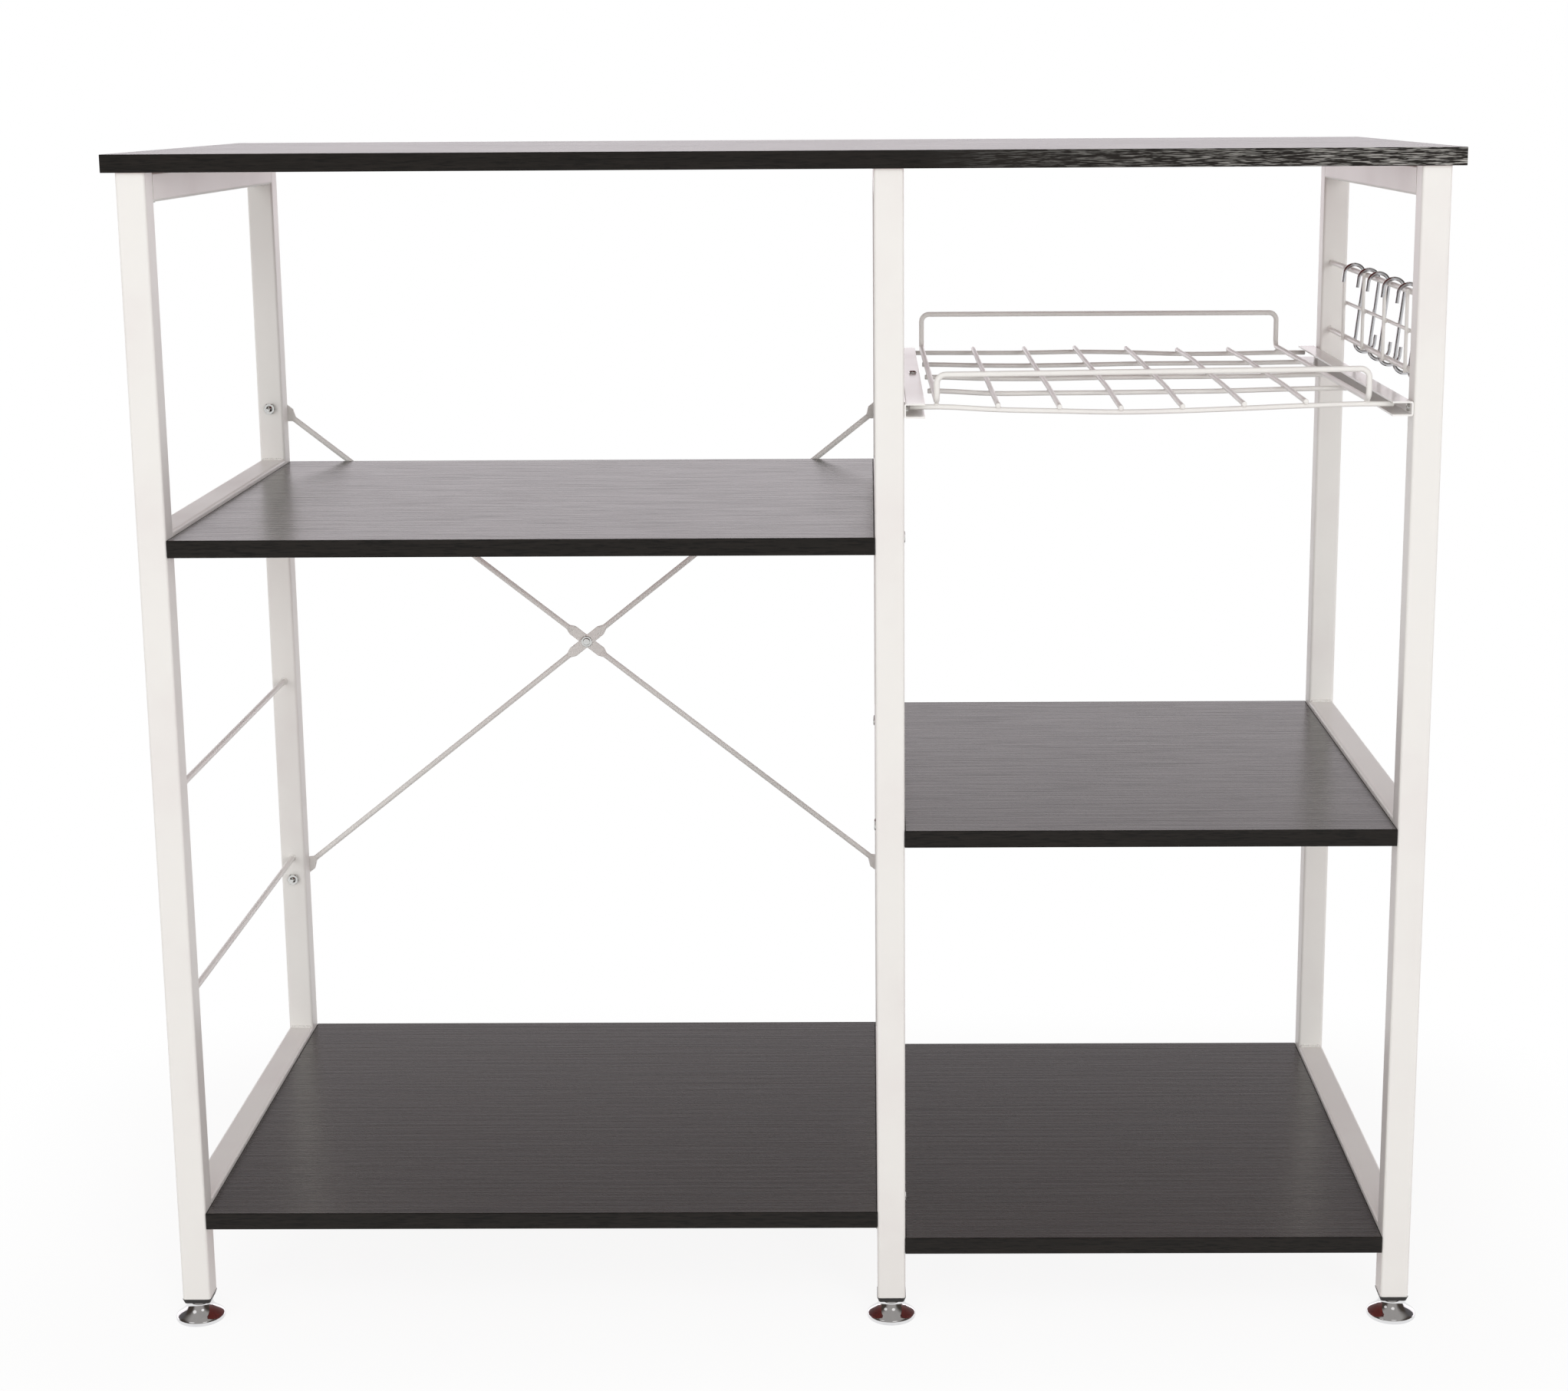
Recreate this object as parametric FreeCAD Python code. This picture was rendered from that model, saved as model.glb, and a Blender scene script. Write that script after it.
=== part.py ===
"""Storage rack of square steel tube with wood-grain boards, a sliding wire basket and hooks.

Three welded tube frames carry a top board and four shelves.  A crossed pair of rods braces
the back of the left bay.  A wire basket slides in two channels in the right bay, S-hooks
hang from a rod grid in the right frame, and six screw feet level the rack.

Millimetres.  The origin is on the floor under the middle of the frames: +X to the right,
+Y to the back, +Z up.
"""

import FreeCAD, Part
import math
import os

vector = FreeCAD.Vector
RIGHT = vector(1, 0, 0)
BACK = vector(0, 1, 0)
UP = vector(0, 0, 1)

# Boards
board_width = 900.0
board_front_overhang = 2.0
board_thickness = 12.0
shelf_thickness = 12.0

# Square tube of the frames
tube_side = 20.0
tube_wall = 1.2
tube_corner = 2.0

# Frames: how long the posts are, how deep a frame is and where the frames stand
post_length = 800.0
frame_depth = 400.0
side_overhang = 9.0
middle_frame_x = 70.0

# Tops of the shelves above the lower end of the posts; the two bottom rails of the middle
# frame lie on each other, so the left bottom shelf is one tube higher than the right one
left_mid_rise = 554.0
right_mid_rise = 348.0
right_bottom_rise = 46.0

# Screws through the rails into the ends of the shelves, and from below into the top board
shelf_screw_radius = 2.5
shelf_screw_head_radius = 4.3
shelf_screw_head_height = 1.4
shelf_screw_bite = 28.0
shelf_screw_inset = 40.0
top_screw_bite = 9.0
top_screw_inset = 46.0
screw_hole_clearance = 0.25
pilot_clearance = 0.05
screw_tip_share = 0.9
screw_head_round_share = 0.5

# Feet: bell with a neck and a stud, and the plug that takes it in the end of a post
foot_height = 18.0
foot_travel = 12.0
bell_radius = 17.5
bell_neck_radius = 8.8
bell_edge_share = 0.1
bell_shoulder_share = 0.25
bell_shoulder_round_share = 0.2
bell_neck_share = 0.65
bell_neck_round_share = 0.17
stud_radius = 4.0
stud_clearance = 0.05
stud_spare = 8.0
plug_depth = 18.0
plug_fit_clearance = 0.1
plug_collar_height = 3.3
plug_collar_rim = 0.3
plug_collar_taper = 1.1
overrun = 2.0

# Guard rods in the left frame
guard_rod_radius = 2.25
guard_rod_gap = 18.0
guard_rod_pitch = 152.5

# Crossed rods behind the left bay, flattened where the bolts go through
brace_rod_radius = 2.25
brace_flat_thickness = 1.8
brace_end_width = 12.8
brace_end_reach = 13.0
brace_end_swell = 5.4
brace_cross_width = 8.6
brace_cross_reach = 15.0
brace_cross_swell = 4.5
brace_clearance = 0.35
brace_top_rise = 46.0
brace_bottom_rise = 136.0
bolt_radius = 2.5
bolt_hole_clearance = 0.15
bolt_head_radius = 4.4
bolt_head_height = 2.6
bolt_spare = 1.5
nut_width = 8.0
nut_thickness = 4.0
nut_chamfer = 0.6
rivet_flange_radius = 4.6
rivet_flange_height = 0.8
rivet_dome_radius = 3.1
rivet_dome_height = 1.2

# Channels that the basket slides in, and their screws
runner_drop = 155.2
runner_height = 10.0
runner_flange = 14.0
runner_sheet = 1.2
runner_bend = 1.6
runner_screw_radius = 1.75
runner_screw_head_radius = 2.8
runner_screw_head_height = 1.8
runner_screw_length = 9.0

# Basket: rim wire bent into one loop, cross wires that ride in the channels, long wires
rim_wire_radius = 2.0
tray_wire_radius = 1.75
basket_shift = 3.5
basket_side_gap = 9.5
basket_ride_clearance = 0.3
basket_end_clearance = 0.8
basket_inset = 7.0
basket_guard_height = 27.0
basket_bottom_bend = 6.0
basket_top_bend = 6.0
basket_long_wires = 6
basket_cross_wires = 5
basket_long_overhang = 3.5
basket_short_overhang = 4.0

# Rod grid in the right frame
grid_rod_radius = 2.0
grid_wire_radius = 1.25
grid_rod_inset = 8.0
grid_rod_drop = 86.7
grid_rod_pitch = 53.3
grid_wire_shares = (-0.71, -0.30, 0.11, 0.52)
grid_wire_overhang = 8.0

# S-hooks on the top rod of the grid, leaning on its lower rod
hook_wire_radius = 1.4
hook_bend = 7.6
hook_shank = 50.5
hook_tip = 6.5
hook_clearance = 0.3
hook_outward_share = 0.4
hook_place_shares = (-0.615, -0.345, -0.055, 0.145, 0.445)

SAME_POINT = tube_side / 1e6

# Places that follow from the sizes
board_depth = frame_depth + 2 * board_front_overhang
half_depth = frame_depth / 2
half_tube = tube_side / 2
frame_x = {
    "left": half_tube + side_overhang - board_width / 2,
    "middle": middle_frame_x,
    "right": board_width / 2 - side_overhang - half_tube,
}
post_y = {"front": half_tube - half_depth, "back": half_depth - half_tube}
rail_reach = half_depth - tube_side
post_bottom = foot_height
post_top = post_bottom + post_length
bays = {
    "left": (frame_x["left"] + half_tube, frame_x["middle"] - half_tube),
    "right": (frame_x["middle"] + half_tube, frame_x["right"] - half_tube),
}
shelf_top = {
    "left_mid": post_bottom + left_mid_rise,
    "left_bottom": post_bottom + right_bottom_rise + tube_side,
    "right_mid": post_bottom + right_mid_rise,
    "right_bottom": post_bottom + right_bottom_rise,
}
brace_z = {
    "top": shelf_top["left_mid"] + brace_top_rise,
    "bottom": shelf_top["left_bottom"] + brace_bottom_rise,
}
brace_axis_y = half_depth + brace_clearance + brace_rod_radius
end_flat = (brace_end_width, brace_end_reach, brace_end_swell)
cross_flat = (brace_cross_width, brace_cross_reach, brace_cross_swell)
runner_top = post_top - runner_drop
runner_middle = runner_top - runner_height / 2
grid_x = frame_x["right"] - half_tube + grid_rod_inset
grid_top = post_top - grid_rod_drop
grid_bottom = grid_top - grid_rod_pitch


# Shapes used by several pieces

def rounded_path(points, radii, closed=False):
    """Edges along a polyline whose corners are tangent arcs of the given radii."""
    starts, ends, arcs = [], [], []
    for index, corner in enumerate(points):
        if radii[index] == 0:
            starts.append(corner)
            ends.append(corner)
            arcs.append(None)
            continue
        before = (points[index - 1] - corner).normalize()
        after = (points[(index + 1) % len(points)] - corner).normalize()
        half_angle = before.getAngle(after) / 2
        reach = radii[index] / math.tan(half_angle)
        inward = (before + after).normalize()
        arc_middle = corner + inward * (radii[index] / math.sin(half_angle) - radii[index])
        starts.append(corner + before * reach)
        ends.append(corner + after * reach)
        arcs.append(Part.Arc(starts[-1], arc_middle, ends[-1]).toShape())
    edges = []
    for index in range(len(points)):
        if arcs[index]:
            edges.append(arcs[index])
        if index == len(points) - 1 and not closed:
            break
        following = starts[(index + 1) % len(points)]
        if following.distanceToPoint(ends[index]) > SAME_POINT:
            edges.append(Part.makeLine(ends[index], following))
    return edges


def outline(points, radii):
    """Closed wire around the points with rounded corners."""
    return Part.Wire(rounded_path(points, radii, closed=True))


def rounded_square(centre, across, upward, side, corner):
    """Closed wire of a square with rounded corners, about its centre."""
    half = side / 2
    corners = [
        centre + across * half + upward * half,
        centre - across * half + upward * half,
        centre - across * half - upward * half,
        centre + across * half - upward * half,
    ]
    return outline(corners, [corner] * len(corners))


def square_tube(start, end, across):
    """Hollow square tube between two points on its middle line."""
    along = end - start
    upward = along.cross(across).normalize()
    outer = rounded_square(start, across, upward, tube_side, tube_corner)
    inner = rounded_square(
        start, across, upward, tube_side - 2 * tube_wall, tube_corner - tube_wall)
    section = Part.makeFace([outer, inner], "Part::FaceMakerBullseye")
    return section.extrude(along)


def rod(start, end, radius):
    """Round bar between two points."""
    return Part.makeCylinder(radius, (end - start).Length, start, end - start)


def board(x_low, x_high, depth, top, thickness):
    """Flat board between two x values, about the middle of the depth."""
    corner = vector(x_low, -depth / 2, top - thickness)
    return Part.makeBox(x_high - x_low, depth, thickness, corner)


def bent_wire(points, radii, radius):
    """Open wire of one thickness along a rounded path."""
    path = Part.Wire(rounded_path(points, radii))
    section = Part.Wire([Part.makeCircle(radius, points[0], points[1] - points[0])])
    return path.makePipe(Part.Face(section))


def placed(shape, origin, direction):
    """The shape with its +Z turned to a direction and its origin moved to a point."""
    turn = FreeCAD.Rotation(UP, direction)
    moved = shape.copy()
    moved.Placement = FreeCAD.Placement(origin, turn)
    return moved


def turned(points, radii):
    """Solid turned about +Z from an outline of (radius, height) pairs."""
    corners = [vector(radius, 0, height) for radius, height in points]
    profile = Part.Face(outline(corners, radii))
    return profile.revolve(vector(), UP, 360)


def headed(radius, length, head_radius, head_height, tip):
    """Round-headed screw or bolt: the head ends at the origin and the shank goes up."""
    head_round = head_height * screw_head_round_share
    return turned(
        [
            (0, -head_height),
            (head_radius, -head_height),
            (head_radius, 0),
            (radius, 0),
            (radius, length - tip),
            (radius - tip * screw_tip_share, length),
            (0, length),
        ],
        [0, head_round, 0, 0, 0, 0, 0],
    )


def hexagon_nut():
    """Hexagon nut on the origin, upwards, with both ends chamfered."""
    corner_radius = nut_width / math.sqrt(3)
    corners = [
        vector(corner_radius * math.cos(math.pi * step / 3),
               corner_radius * math.sin(math.pi * step / 3), 0)
        for step in range(6)
    ]
    prism = Part.Face(outline(corners, [0] * len(corners))).extrude(UP * nut_thickness)
    chamfered = turned(
        [
            (0, 0),
            (corner_radius - nut_chamfer, 0),
            (corner_radius, nut_chamfer),
            (corner_radius, nut_thickness - nut_chamfer),
            (corner_radius - nut_chamfer, nut_thickness),
            (0, nut_thickness),
        ],
        [0] * 6,
    )
    hole = Part.makeCylinder(bolt_radius + pilot_clearance, nut_thickness)
    return prism.common(chamfered).cut(hole)


def drilled(shape, holes):
    """The shape with all the holes cut from it."""
    return shape.cut(Part.makeCompound(holes)) if holes else shape


# Screws of the shelves and of the top board

def shelf_screw_lines(shelf):
    """Where each screw of a shelf starts, under its head, and which way it goes."""
    bay = bays[shelf.split("_")[0]]
    height = shelf_top[shelf] - shelf_thickness / 2
    lines = []
    for side in (-1, 1):
        y = side * (half_depth - shelf_screw_inset)
        lines.append((vector(bay[0] - tube_side, y, height), RIGHT))
        lines.append((vector(bay[1] + tube_side, y, height), RIGHT * -1))
    return lines


def top_screw_lines(frame):
    """Where the screws from one frame into the top board start and which way they go."""
    under_rail = post_top - tube_side
    return [
        (vector(frame_x[frame], side * (half_depth - top_screw_inset), under_rail), UP)
        for side in (-1, 1)
    ]


def screw(line, bite):
    """One screw through a rail, with its bite into the board behind it."""
    shape = headed(shelf_screw_radius, tube_side + bite, shelf_screw_head_radius,
                   shelf_screw_head_height, shelf_screw_radius)
    return placed(shape, line[0], line[1])


def screw_hole(line, length, clearance):
    """Round hole along a screw, from under its head."""
    return Part.makeCylinder(shelf_screw_radius + clearance, length, line[0], line[1])


def shelf_screws(side):
    """All the screws of the shelves on one side of the rack."""
    shelves = [shelf for shelf in shelf_top if shelf.startswith(side)]
    lines = [line for shelf in shelves for line in shelf_screw_lines(shelf)]
    return Part.makeCompound([screw(line, shelf_screw_bite) for line in lines])


def top_screws():
    """The screws from the top rails up into the top board."""
    lines = [line for frame in frame_x for line in top_screw_lines(frame)]
    return Part.makeCompound([screw(line, top_screw_bite) for line in lines])


# Boards

def top_board():
    """Top board over all three frames, with blind holes for its screws."""
    panel = board(-board_width / 2, board_width / 2, board_depth,
                  post_top + board_thickness, board_thickness)
    holes = [
        screw_hole(line, tube_side + top_screw_bite + pilot_clearance, pilot_clearance)
        for frame in frame_x for line in top_screw_lines(frame)
    ]
    return drilled(panel, holes)


def shelf_board(shelf):
    """One shelf, as deep as the frames, between the two frames of its bay."""
    bay = bays[shelf.split("_")[0]]
    panel = board(bay[0], bay[1], frame_depth, shelf_top[shelf], shelf_thickness)
    holes = [
        screw_hole(line, tube_side + shelf_screw_bite + pilot_clearance, pilot_clearance)
        for line in shelf_screw_lines(shelf)
    ]
    return drilled(panel, holes)


# Frames

def brace_bolt_places():
    """Middle of the back post's back face at each bolt of the crossed rods, by name."""
    return {
        (frame, level): vector(frame_x[frame], half_depth, brace_z[level])
        for frame in ("left", "middle") for level in ("top", "bottom")
    }


def runner_screw_places():
    """Points on the posts' faces where the channels are screwed, with the way in."""
    places = []
    for y in post_y.values():
        places.append((vector(bays["right"][0], y, runner_middle), RIGHT * -1))
        places.append((vector(bays["right"][1], y, runner_middle), RIGHT))
    return places


def post(frame, end):
    """One upright with the holes for the bolts and screws that go into it."""
    x, y = frame_x[frame], post_y[end]
    upright = square_tube(vector(x, y, post_bottom), vector(x, y, post_top), RIGHT)
    holes = []
    if end == "back":
        holes += [
            Part.makeCylinder(bolt_radius + bolt_hole_clearance, tube_side, place, BACK * -1)
            for (name, _), place in brace_bolt_places().items() if name == frame
        ]
    holes += [
        Part.makeCylinder(runner_screw_radius + pilot_clearance, half_tube, place, inward)
        for place, inward in runner_screw_places()
        if abs(place.x - x) < tube_side and place.y == y
    ]
    return drilled(upright, holes)


def shelf_rail(frame, shelf):
    """Cross tube of a frame behind the end of one shelf, with its screw holes."""
    height = shelf_top[shelf] - shelf_thickness / 2
    x = frame_x[frame]
    bar = square_tube(vector(x, -rail_reach, height), vector(x, rail_reach, height), RIGHT)
    holes = [
        screw_hole(line, tube_side, screw_hole_clearance)
        for line in shelf_screw_lines(shelf) if abs(line[0].x - x) < tube_side
    ]
    return drilled(bar, holes)


def top_rail(frame):
    """Cross tube between the upper ends of a frame's posts."""
    x, height = frame_x[frame], post_top - half_tube
    bar = square_tube(vector(x, -rail_reach, height), vector(x, rail_reach, height), RIGHT)
    holes = [
        screw_hole(line, tube_side, screw_hole_clearance) for line in top_screw_lines(frame)
    ]
    return drilled(bar, holes)


def guard_rod(height):
    """Round rod welded between the posts of the left frame."""
    x = frame_x["left"]
    return rod(vector(x, -rail_reach, height), vector(x, rail_reach, height),
               guard_rod_radius)


# Feet

def plug(x, y):
    """Square plug in the lower end of a post, with a tapered collar under the tube."""
    collar_side = tube_side + 2 * plug_collar_rim
    lower_side = collar_side - 2 * plug_collar_taper
    body_side = tube_side - 2 * tube_wall - 2 * plug_fit_clearance
    place = vector(x, y, post_bottom)
    below = vector(x, y, post_bottom - plug_collar_height)
    collar = Part.makeLoft(
        [
            rounded_square(below, RIGHT, BACK, lower_side, tube_corner),
            rounded_square(place, RIGHT, BACK, collar_side, tube_corner),
        ],
        True, True)
    body = Part.Face(
        rounded_square(place, RIGHT, BACK, body_side, tube_corner - tube_wall)
    ).extrude(UP * plug_depth)
    bore = Part.makeCylinder(stud_radius + stud_clearance,
                             plug_collar_height + plug_depth + 2 * overrun,
                             below - UP * overrun)
    return collar.fuse(body).cut(bore).removeSplitter()


def plugs():
    """The plugs of all the posts."""
    return Part.makeCompound([plug(x, y) for x in frame_x.values() for y in post_y.values()])


def foot(frame, end):
    """Screw foot: a bell that flares from its neck to the floor, and its stud."""
    bell_height = foot_height - plug_collar_height
    stud_top = bell_height + foot_travel + stud_spare
    shape = turned(
        [
            (0, 0),
            (bell_radius, 0),
            (bell_radius, bell_height * bell_shoulder_share),
            (bell_neck_radius, bell_height * bell_neck_share),
            (bell_neck_radius, bell_height),
            (stud_radius, bell_height),
            (stud_radius, stud_top),
            (0, stud_top),
        ],
        [
            0,
            bell_height * bell_edge_share,
            bell_height * bell_shoulder_round_share,
            bell_height * bell_neck_round_share,
            0,
            0,
            0,
            0,
        ],
    )
    return placed(shape, vector(frame_x[frame], post_y[end], 0), UP)


# Crossed rods

def ring_of_arcs(centre):
    """Circle of the rod, in four arcs that match the four edges of a flat."""
    def at(turn):
        angle = math.radians(turn)
        return centre + (UP * math.cos(angle) + BACK * math.sin(angle)) * brace_rod_radius
    return Part.Wire([
        Part.Arc(at(turn - 45), at(turn), at(turn + 45)).toShape()
        for turn in (90, 180, 270, 360)
    ])


def flat_section(centre, width):
    """Section of a flattened stretch: two flat sides and two round edges."""
    half_thickness = brace_flat_thickness / 2
    half_flat = width / 2 - half_thickness
    front, back = BACK * -half_thickness, BACK * half_thickness
    high, low = UP * half_flat, UP * -half_flat
    edge = UP * (width / 2)
    return Part.Wire([
        Part.makeLine(centre + high + back, centre + low + back),
        Part.Arc(centre + low + back, centre - edge, centre + low + front).toShape(),
        Part.makeLine(centre + low + front, centre + high + front),
        Part.Arc(centre + high + front, centre + edge, centre + high + back).toShape(),
    ])


def petal(place, flat_y, side, flat):
    """One side of a flattened stretch: the flat, then the swell into the round rod."""
    width, reach, swell = flat
    at_bolt = vector(place, flat_y, 0)
    at_flat = vector(place + side * reach, flat_y, 0)
    at_round = vector(place + side * (reach + swell), 0, 0)
    blade = Part.Face(flat_section(at_bolt, width)).extrude(at_flat - at_bolt)
    taper = Part.makeLoft([flat_section(at_flat, width), ring_of_arcs(at_round)], True, True)
    return blade.fuse(taper)


def brace_rod(start, end, layer):
    """Rod from bolt to bolt, flat at both ends and at the crossing; layer is -1 or 1."""
    span = end - start
    length = span.Length
    end_y = half_depth + brace_flat_thickness / 2 - brace_axis_y
    crossing_y = layer * brace_flat_thickness / 2
    round_start = brace_end_reach + brace_end_swell
    round_end = length / 2 - brace_cross_reach - brace_cross_swell
    pieces = [
        petal(0, end_y, 1, end_flat),
        petal(length, end_y, -1, end_flat),
        petal(length / 2, crossing_y, -1, cross_flat),
        petal(length / 2, crossing_y, 1, cross_flat),
        rod(vector(round_start, 0, 0), vector(round_end, 0, 0), brace_rod_radius),
        rod(vector(length - round_end, 0, 0), vector(length - round_start, 0, 0),
            brace_rod_radius),
    ]
    for place in (0, length):
        pieces.append(Part.makeCylinder(
            brace_end_width / 2, brace_flat_thickness,
            vector(place, end_y - brace_flat_thickness / 2, 0), BACK))
    bar = pieces[0].multiFuse(pieces[1:])
    reach = brace_rod_radius + brace_end_width
    holes = [
        Part.makeCylinder(bolt_radius + pilot_clearance, 2 * reach,
                          vector(place, -reach, 0), BACK)
        for place in (0, length / 2, length)
    ]
    bar = drilled(bar, holes).removeSplitter()
    bar.Placement = FreeCAD.Placement(
        vector(start.x, brace_axis_y, start.z), FreeCAD.Rotation(RIGHT, span))
    return bar


def brace_rods():
    """Both rods, rising to the right in the front layer and falling in the back one."""
    at = brace_bolt_places()
    rising = brace_rod(at["left", "bottom"], at["middle", "top"], -1)
    falling = brace_rod(at["left", "top"], at["middle", "bottom"], 1)
    return rising, falling


def brace_bolts():
    """Bolts from behind through the rods' ends and the back posts."""
    length = brace_flat_thickness + tube_side + nut_thickness + bolt_spare
    bolt = headed(bolt_radius, length, bolt_head_radius, bolt_head_height, nut_chamfer)
    return Part.makeCompound([
        placed(bolt, place + BACK * brace_flat_thickness, BACK * -1)
        for place in brace_bolt_places().values()
    ])


def brace_nuts():
    """Nuts on the front faces of the back posts."""
    return Part.makeCompound([
        placed(hexagon_nut(), place - BACK * tube_side, BACK * -1)
        for place in brace_bolt_places().values()
    ])


def crossing_place():
    """Point where the two rods' flats meet."""
    x = (frame_x["left"] + frame_x["middle"]) / 2
    return vector(x, brace_axis_y, (brace_z["top"] + brace_z["bottom"]) / 2)


def crossing_rivet():
    """Rivet through both flats at the crossing, with a low dome on each flange."""
    face = brace_flat_thickness
    flange = face + rivet_flange_height
    dome = flange + rivet_dome_height
    half = [
        (bolt_radius, face),
        (rivet_flange_radius, face),
        (rivet_flange_radius, flange),
        (rivet_dome_radius, flange),
        (rivet_dome_radius, dome),
        (0, dome),
    ]
    mirrored = [(radius, -height) for radius, height in reversed(half)]
    radii = [0, 0, rivet_flange_height * screw_head_round_share, 0,
             rivet_dome_height * screw_head_round_share, 0]
    rivet = turned(mirrored + half, radii[::-1] + radii)
    return placed(rivet, crossing_place(), BACK)


# Channels

def runner(side):
    """Channel along the frame, open to the bay; side is -1 at the left, 1 at the right."""
    face = bays["right"][0] if side < 0 else bays["right"][1]
    low, high = runner_middle - runner_height / 2, runner_middle + runner_height / 2
    inward = RIGHT * -side
    base = vector(face, -half_depth, 0)
    points = [
        base + inward * runner_flange + UP * high,
        base + UP * high,
        base + UP * low,
        base + inward * runner_flange + UP * low,
        base + inward * runner_flange + UP * (low + runner_sheet),
        base + inward * runner_sheet + UP * (low + runner_sheet),
        base + inward * runner_sheet + UP * (high - runner_sheet),
        base + inward * runner_flange + UP * (high - runner_sheet),
    ]
    inner_bend = runner_bend - runner_sheet
    radii = [0, runner_bend, runner_bend, 0, 0, inner_bend, inner_bend, 0]
    channel = Part.Face(outline(points, radii)).extrude(BACK * frame_depth)
    holes = [
        Part.makeCylinder(runner_screw_radius + pilot_clearance, runner_sheet,
                          place - outward * runner_sheet, outward)
        for place, outward in runner_screw_places() if place.x == face
    ]
    return drilled(channel, holes)


def runner_screws():
    """Screws through the channels' webs into the posts."""
    shape = headed(runner_screw_radius, runner_screw_length, runner_screw_head_radius,
                   runner_screw_head_height, runner_screw_radius)
    return Part.makeCompound([
        placed(shape, place - outward * runner_sheet, outward)
        for place, outward in runner_screw_places()
    ])


# Basket

basket_x = (bays["right"][0] + bays["right"][1]) / 2 - basket_shift
bay_half = (bays["right"][1] - bays["right"][0]) / 2
rim_x = bay_half - runner_flange - basket_side_gap - rim_wire_radius
rim_y = half_depth - basket_inset
ride_half = bay_half - runner_sheet - basket_shift - runner_screw_head_height \
    - basket_end_clearance
cross_z = runner_middle - runner_height / 2 + runner_sheet + basket_ride_clearance \
    + tray_wire_radius
long_z = cross_z + 2 * tray_wire_radius
rim_z = cross_z + tray_wire_radius + rim_wire_radius
cross_y = rim_y - basket_bottom_bend


def basket_rim():
    """One closed loop: side wires, bent up at all four corners into the end guards."""
    top = rim_z + basket_guard_height
    half = []
    for y_side in (-1, 1):
        corners = [
            vector(basket_x - rim_x, y_side * rim_y, rim_z),
            vector(basket_x - rim_x, y_side * rim_y, top),
            vector(basket_x + rim_x, y_side * rim_y, top),
            vector(basket_x + rim_x, y_side * rim_y, rim_z),
        ]
        start = vector(basket_x - rim_x, 0, rim_z)
        end = vector(basket_x + rim_x, 0, rim_z)
        radii = [0, basket_bottom_bend, basket_top_bend, basket_top_bend,
                 basket_bottom_bend, 0]
        half.append(bent_wire([start] + corners + [end], radii, rim_wire_radius))
    return half[0].fuse(half[1]).removeSplitter()


def basket_tray_long():
    """Long wires, evenly spaced between the side wires, on top of the cross wires."""
    pitch = 2 * rim_x / (basket_long_wires + 1)
    reach = cross_y + basket_long_overhang
    wires = []
    for index in range(basket_long_wires):
        x = basket_x - rim_x + (index + 1) * pitch
        wires.append(rod(vector(x, -reach, long_z), vector(x, reach, long_z),
                         tray_wire_radius))
    return Part.makeCompound(wires)


def basket_tray_cross():
    """Cross wires; the first and the last are longer and ride in the channels."""
    pitch = 2 * cross_y / (basket_cross_wires - 1)
    wires = []
    for index in range(basket_cross_wires):
        at_end = index in (0, basket_cross_wires - 1)
        reach = ride_half if at_end else rim_x + basket_short_overhang
        y = index * pitch - cross_y
        wires.append(rod(vector(basket_x - reach, y, cross_z),
                         vector(basket_x + reach, y, cross_z), tray_wire_radius))
    return Part.makeCompound(wires)


# Rod grid and hooks

def grid_rod(height, radius, low, high):
    """Round rod of the grid along the depth of the right frame."""
    return rod(vector(grid_x, low, height), vector(grid_x, high, height), radius)


def grid_middle_rod():
    """Thin rod half-way down the grid, just past its outer upright wires."""
    places = [share * half_depth for share in grid_wire_shares]
    return grid_rod((grid_top + grid_bottom) / 2, grid_wire_radius,
                    places[0] - grid_wire_overhang, places[-1] + grid_wire_overhang)


def grid_wires():
    """Upright wires of the grid, on the inner side of its rods."""
    x = grid_x - grid_rod_radius - grid_wire_radius
    wires = []
    for share in grid_wire_shares:
        y = share * half_depth
        wires.append(rod(vector(x, y, grid_bottom - grid_rod_radius),
                         vector(x, y, grid_top + grid_rod_radius), grid_wire_radius))
    return Part.makeCompound(wires)


def hook(place_share):
    """S-hook over the top rod, leaning on the outer side of the lower rod."""
    shank_end = hook_shank / 2
    shape = bent_wire(
        [
            vector(-2 * hook_bend, 0, shank_end - hook_tip),
            vector(-2 * hook_bend, 0, shank_end + hook_bend),
            vector(0, 0, shank_end + hook_bend),
            vector(0, 0, -shank_end - hook_bend),
            vector(2 * hook_bend, 0, -shank_end - hook_bend),
            vector(2 * hook_bend, 0, hook_tip - shank_end),
        ],
        [0, hook_bend, hook_bend, hook_bend, hook_bend, 0],
        hook_wire_radius,
    )
    play = hook_bend - grid_rod_radius - hook_wire_radius - hook_clearance
    outward = play * hook_outward_share
    drop = math.sqrt(play ** 2 - outward ** 2)
    fall = grid_rod_pitch - drop
    lean = math.atan2(outward, fall) + math.asin(play / math.hypot(fall, outward))
    loop_centre = vector(-hook_bend, 0, shank_end)
    hung = vector(grid_x + outward, place_share * half_depth, grid_top - drop)
    shape.Placement = FreeCAD.Placement(hung - loop_centre,
                                        FreeCAD.Rotation(BACK, math.degrees(lean)), loop_centre)
    return shape


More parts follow.
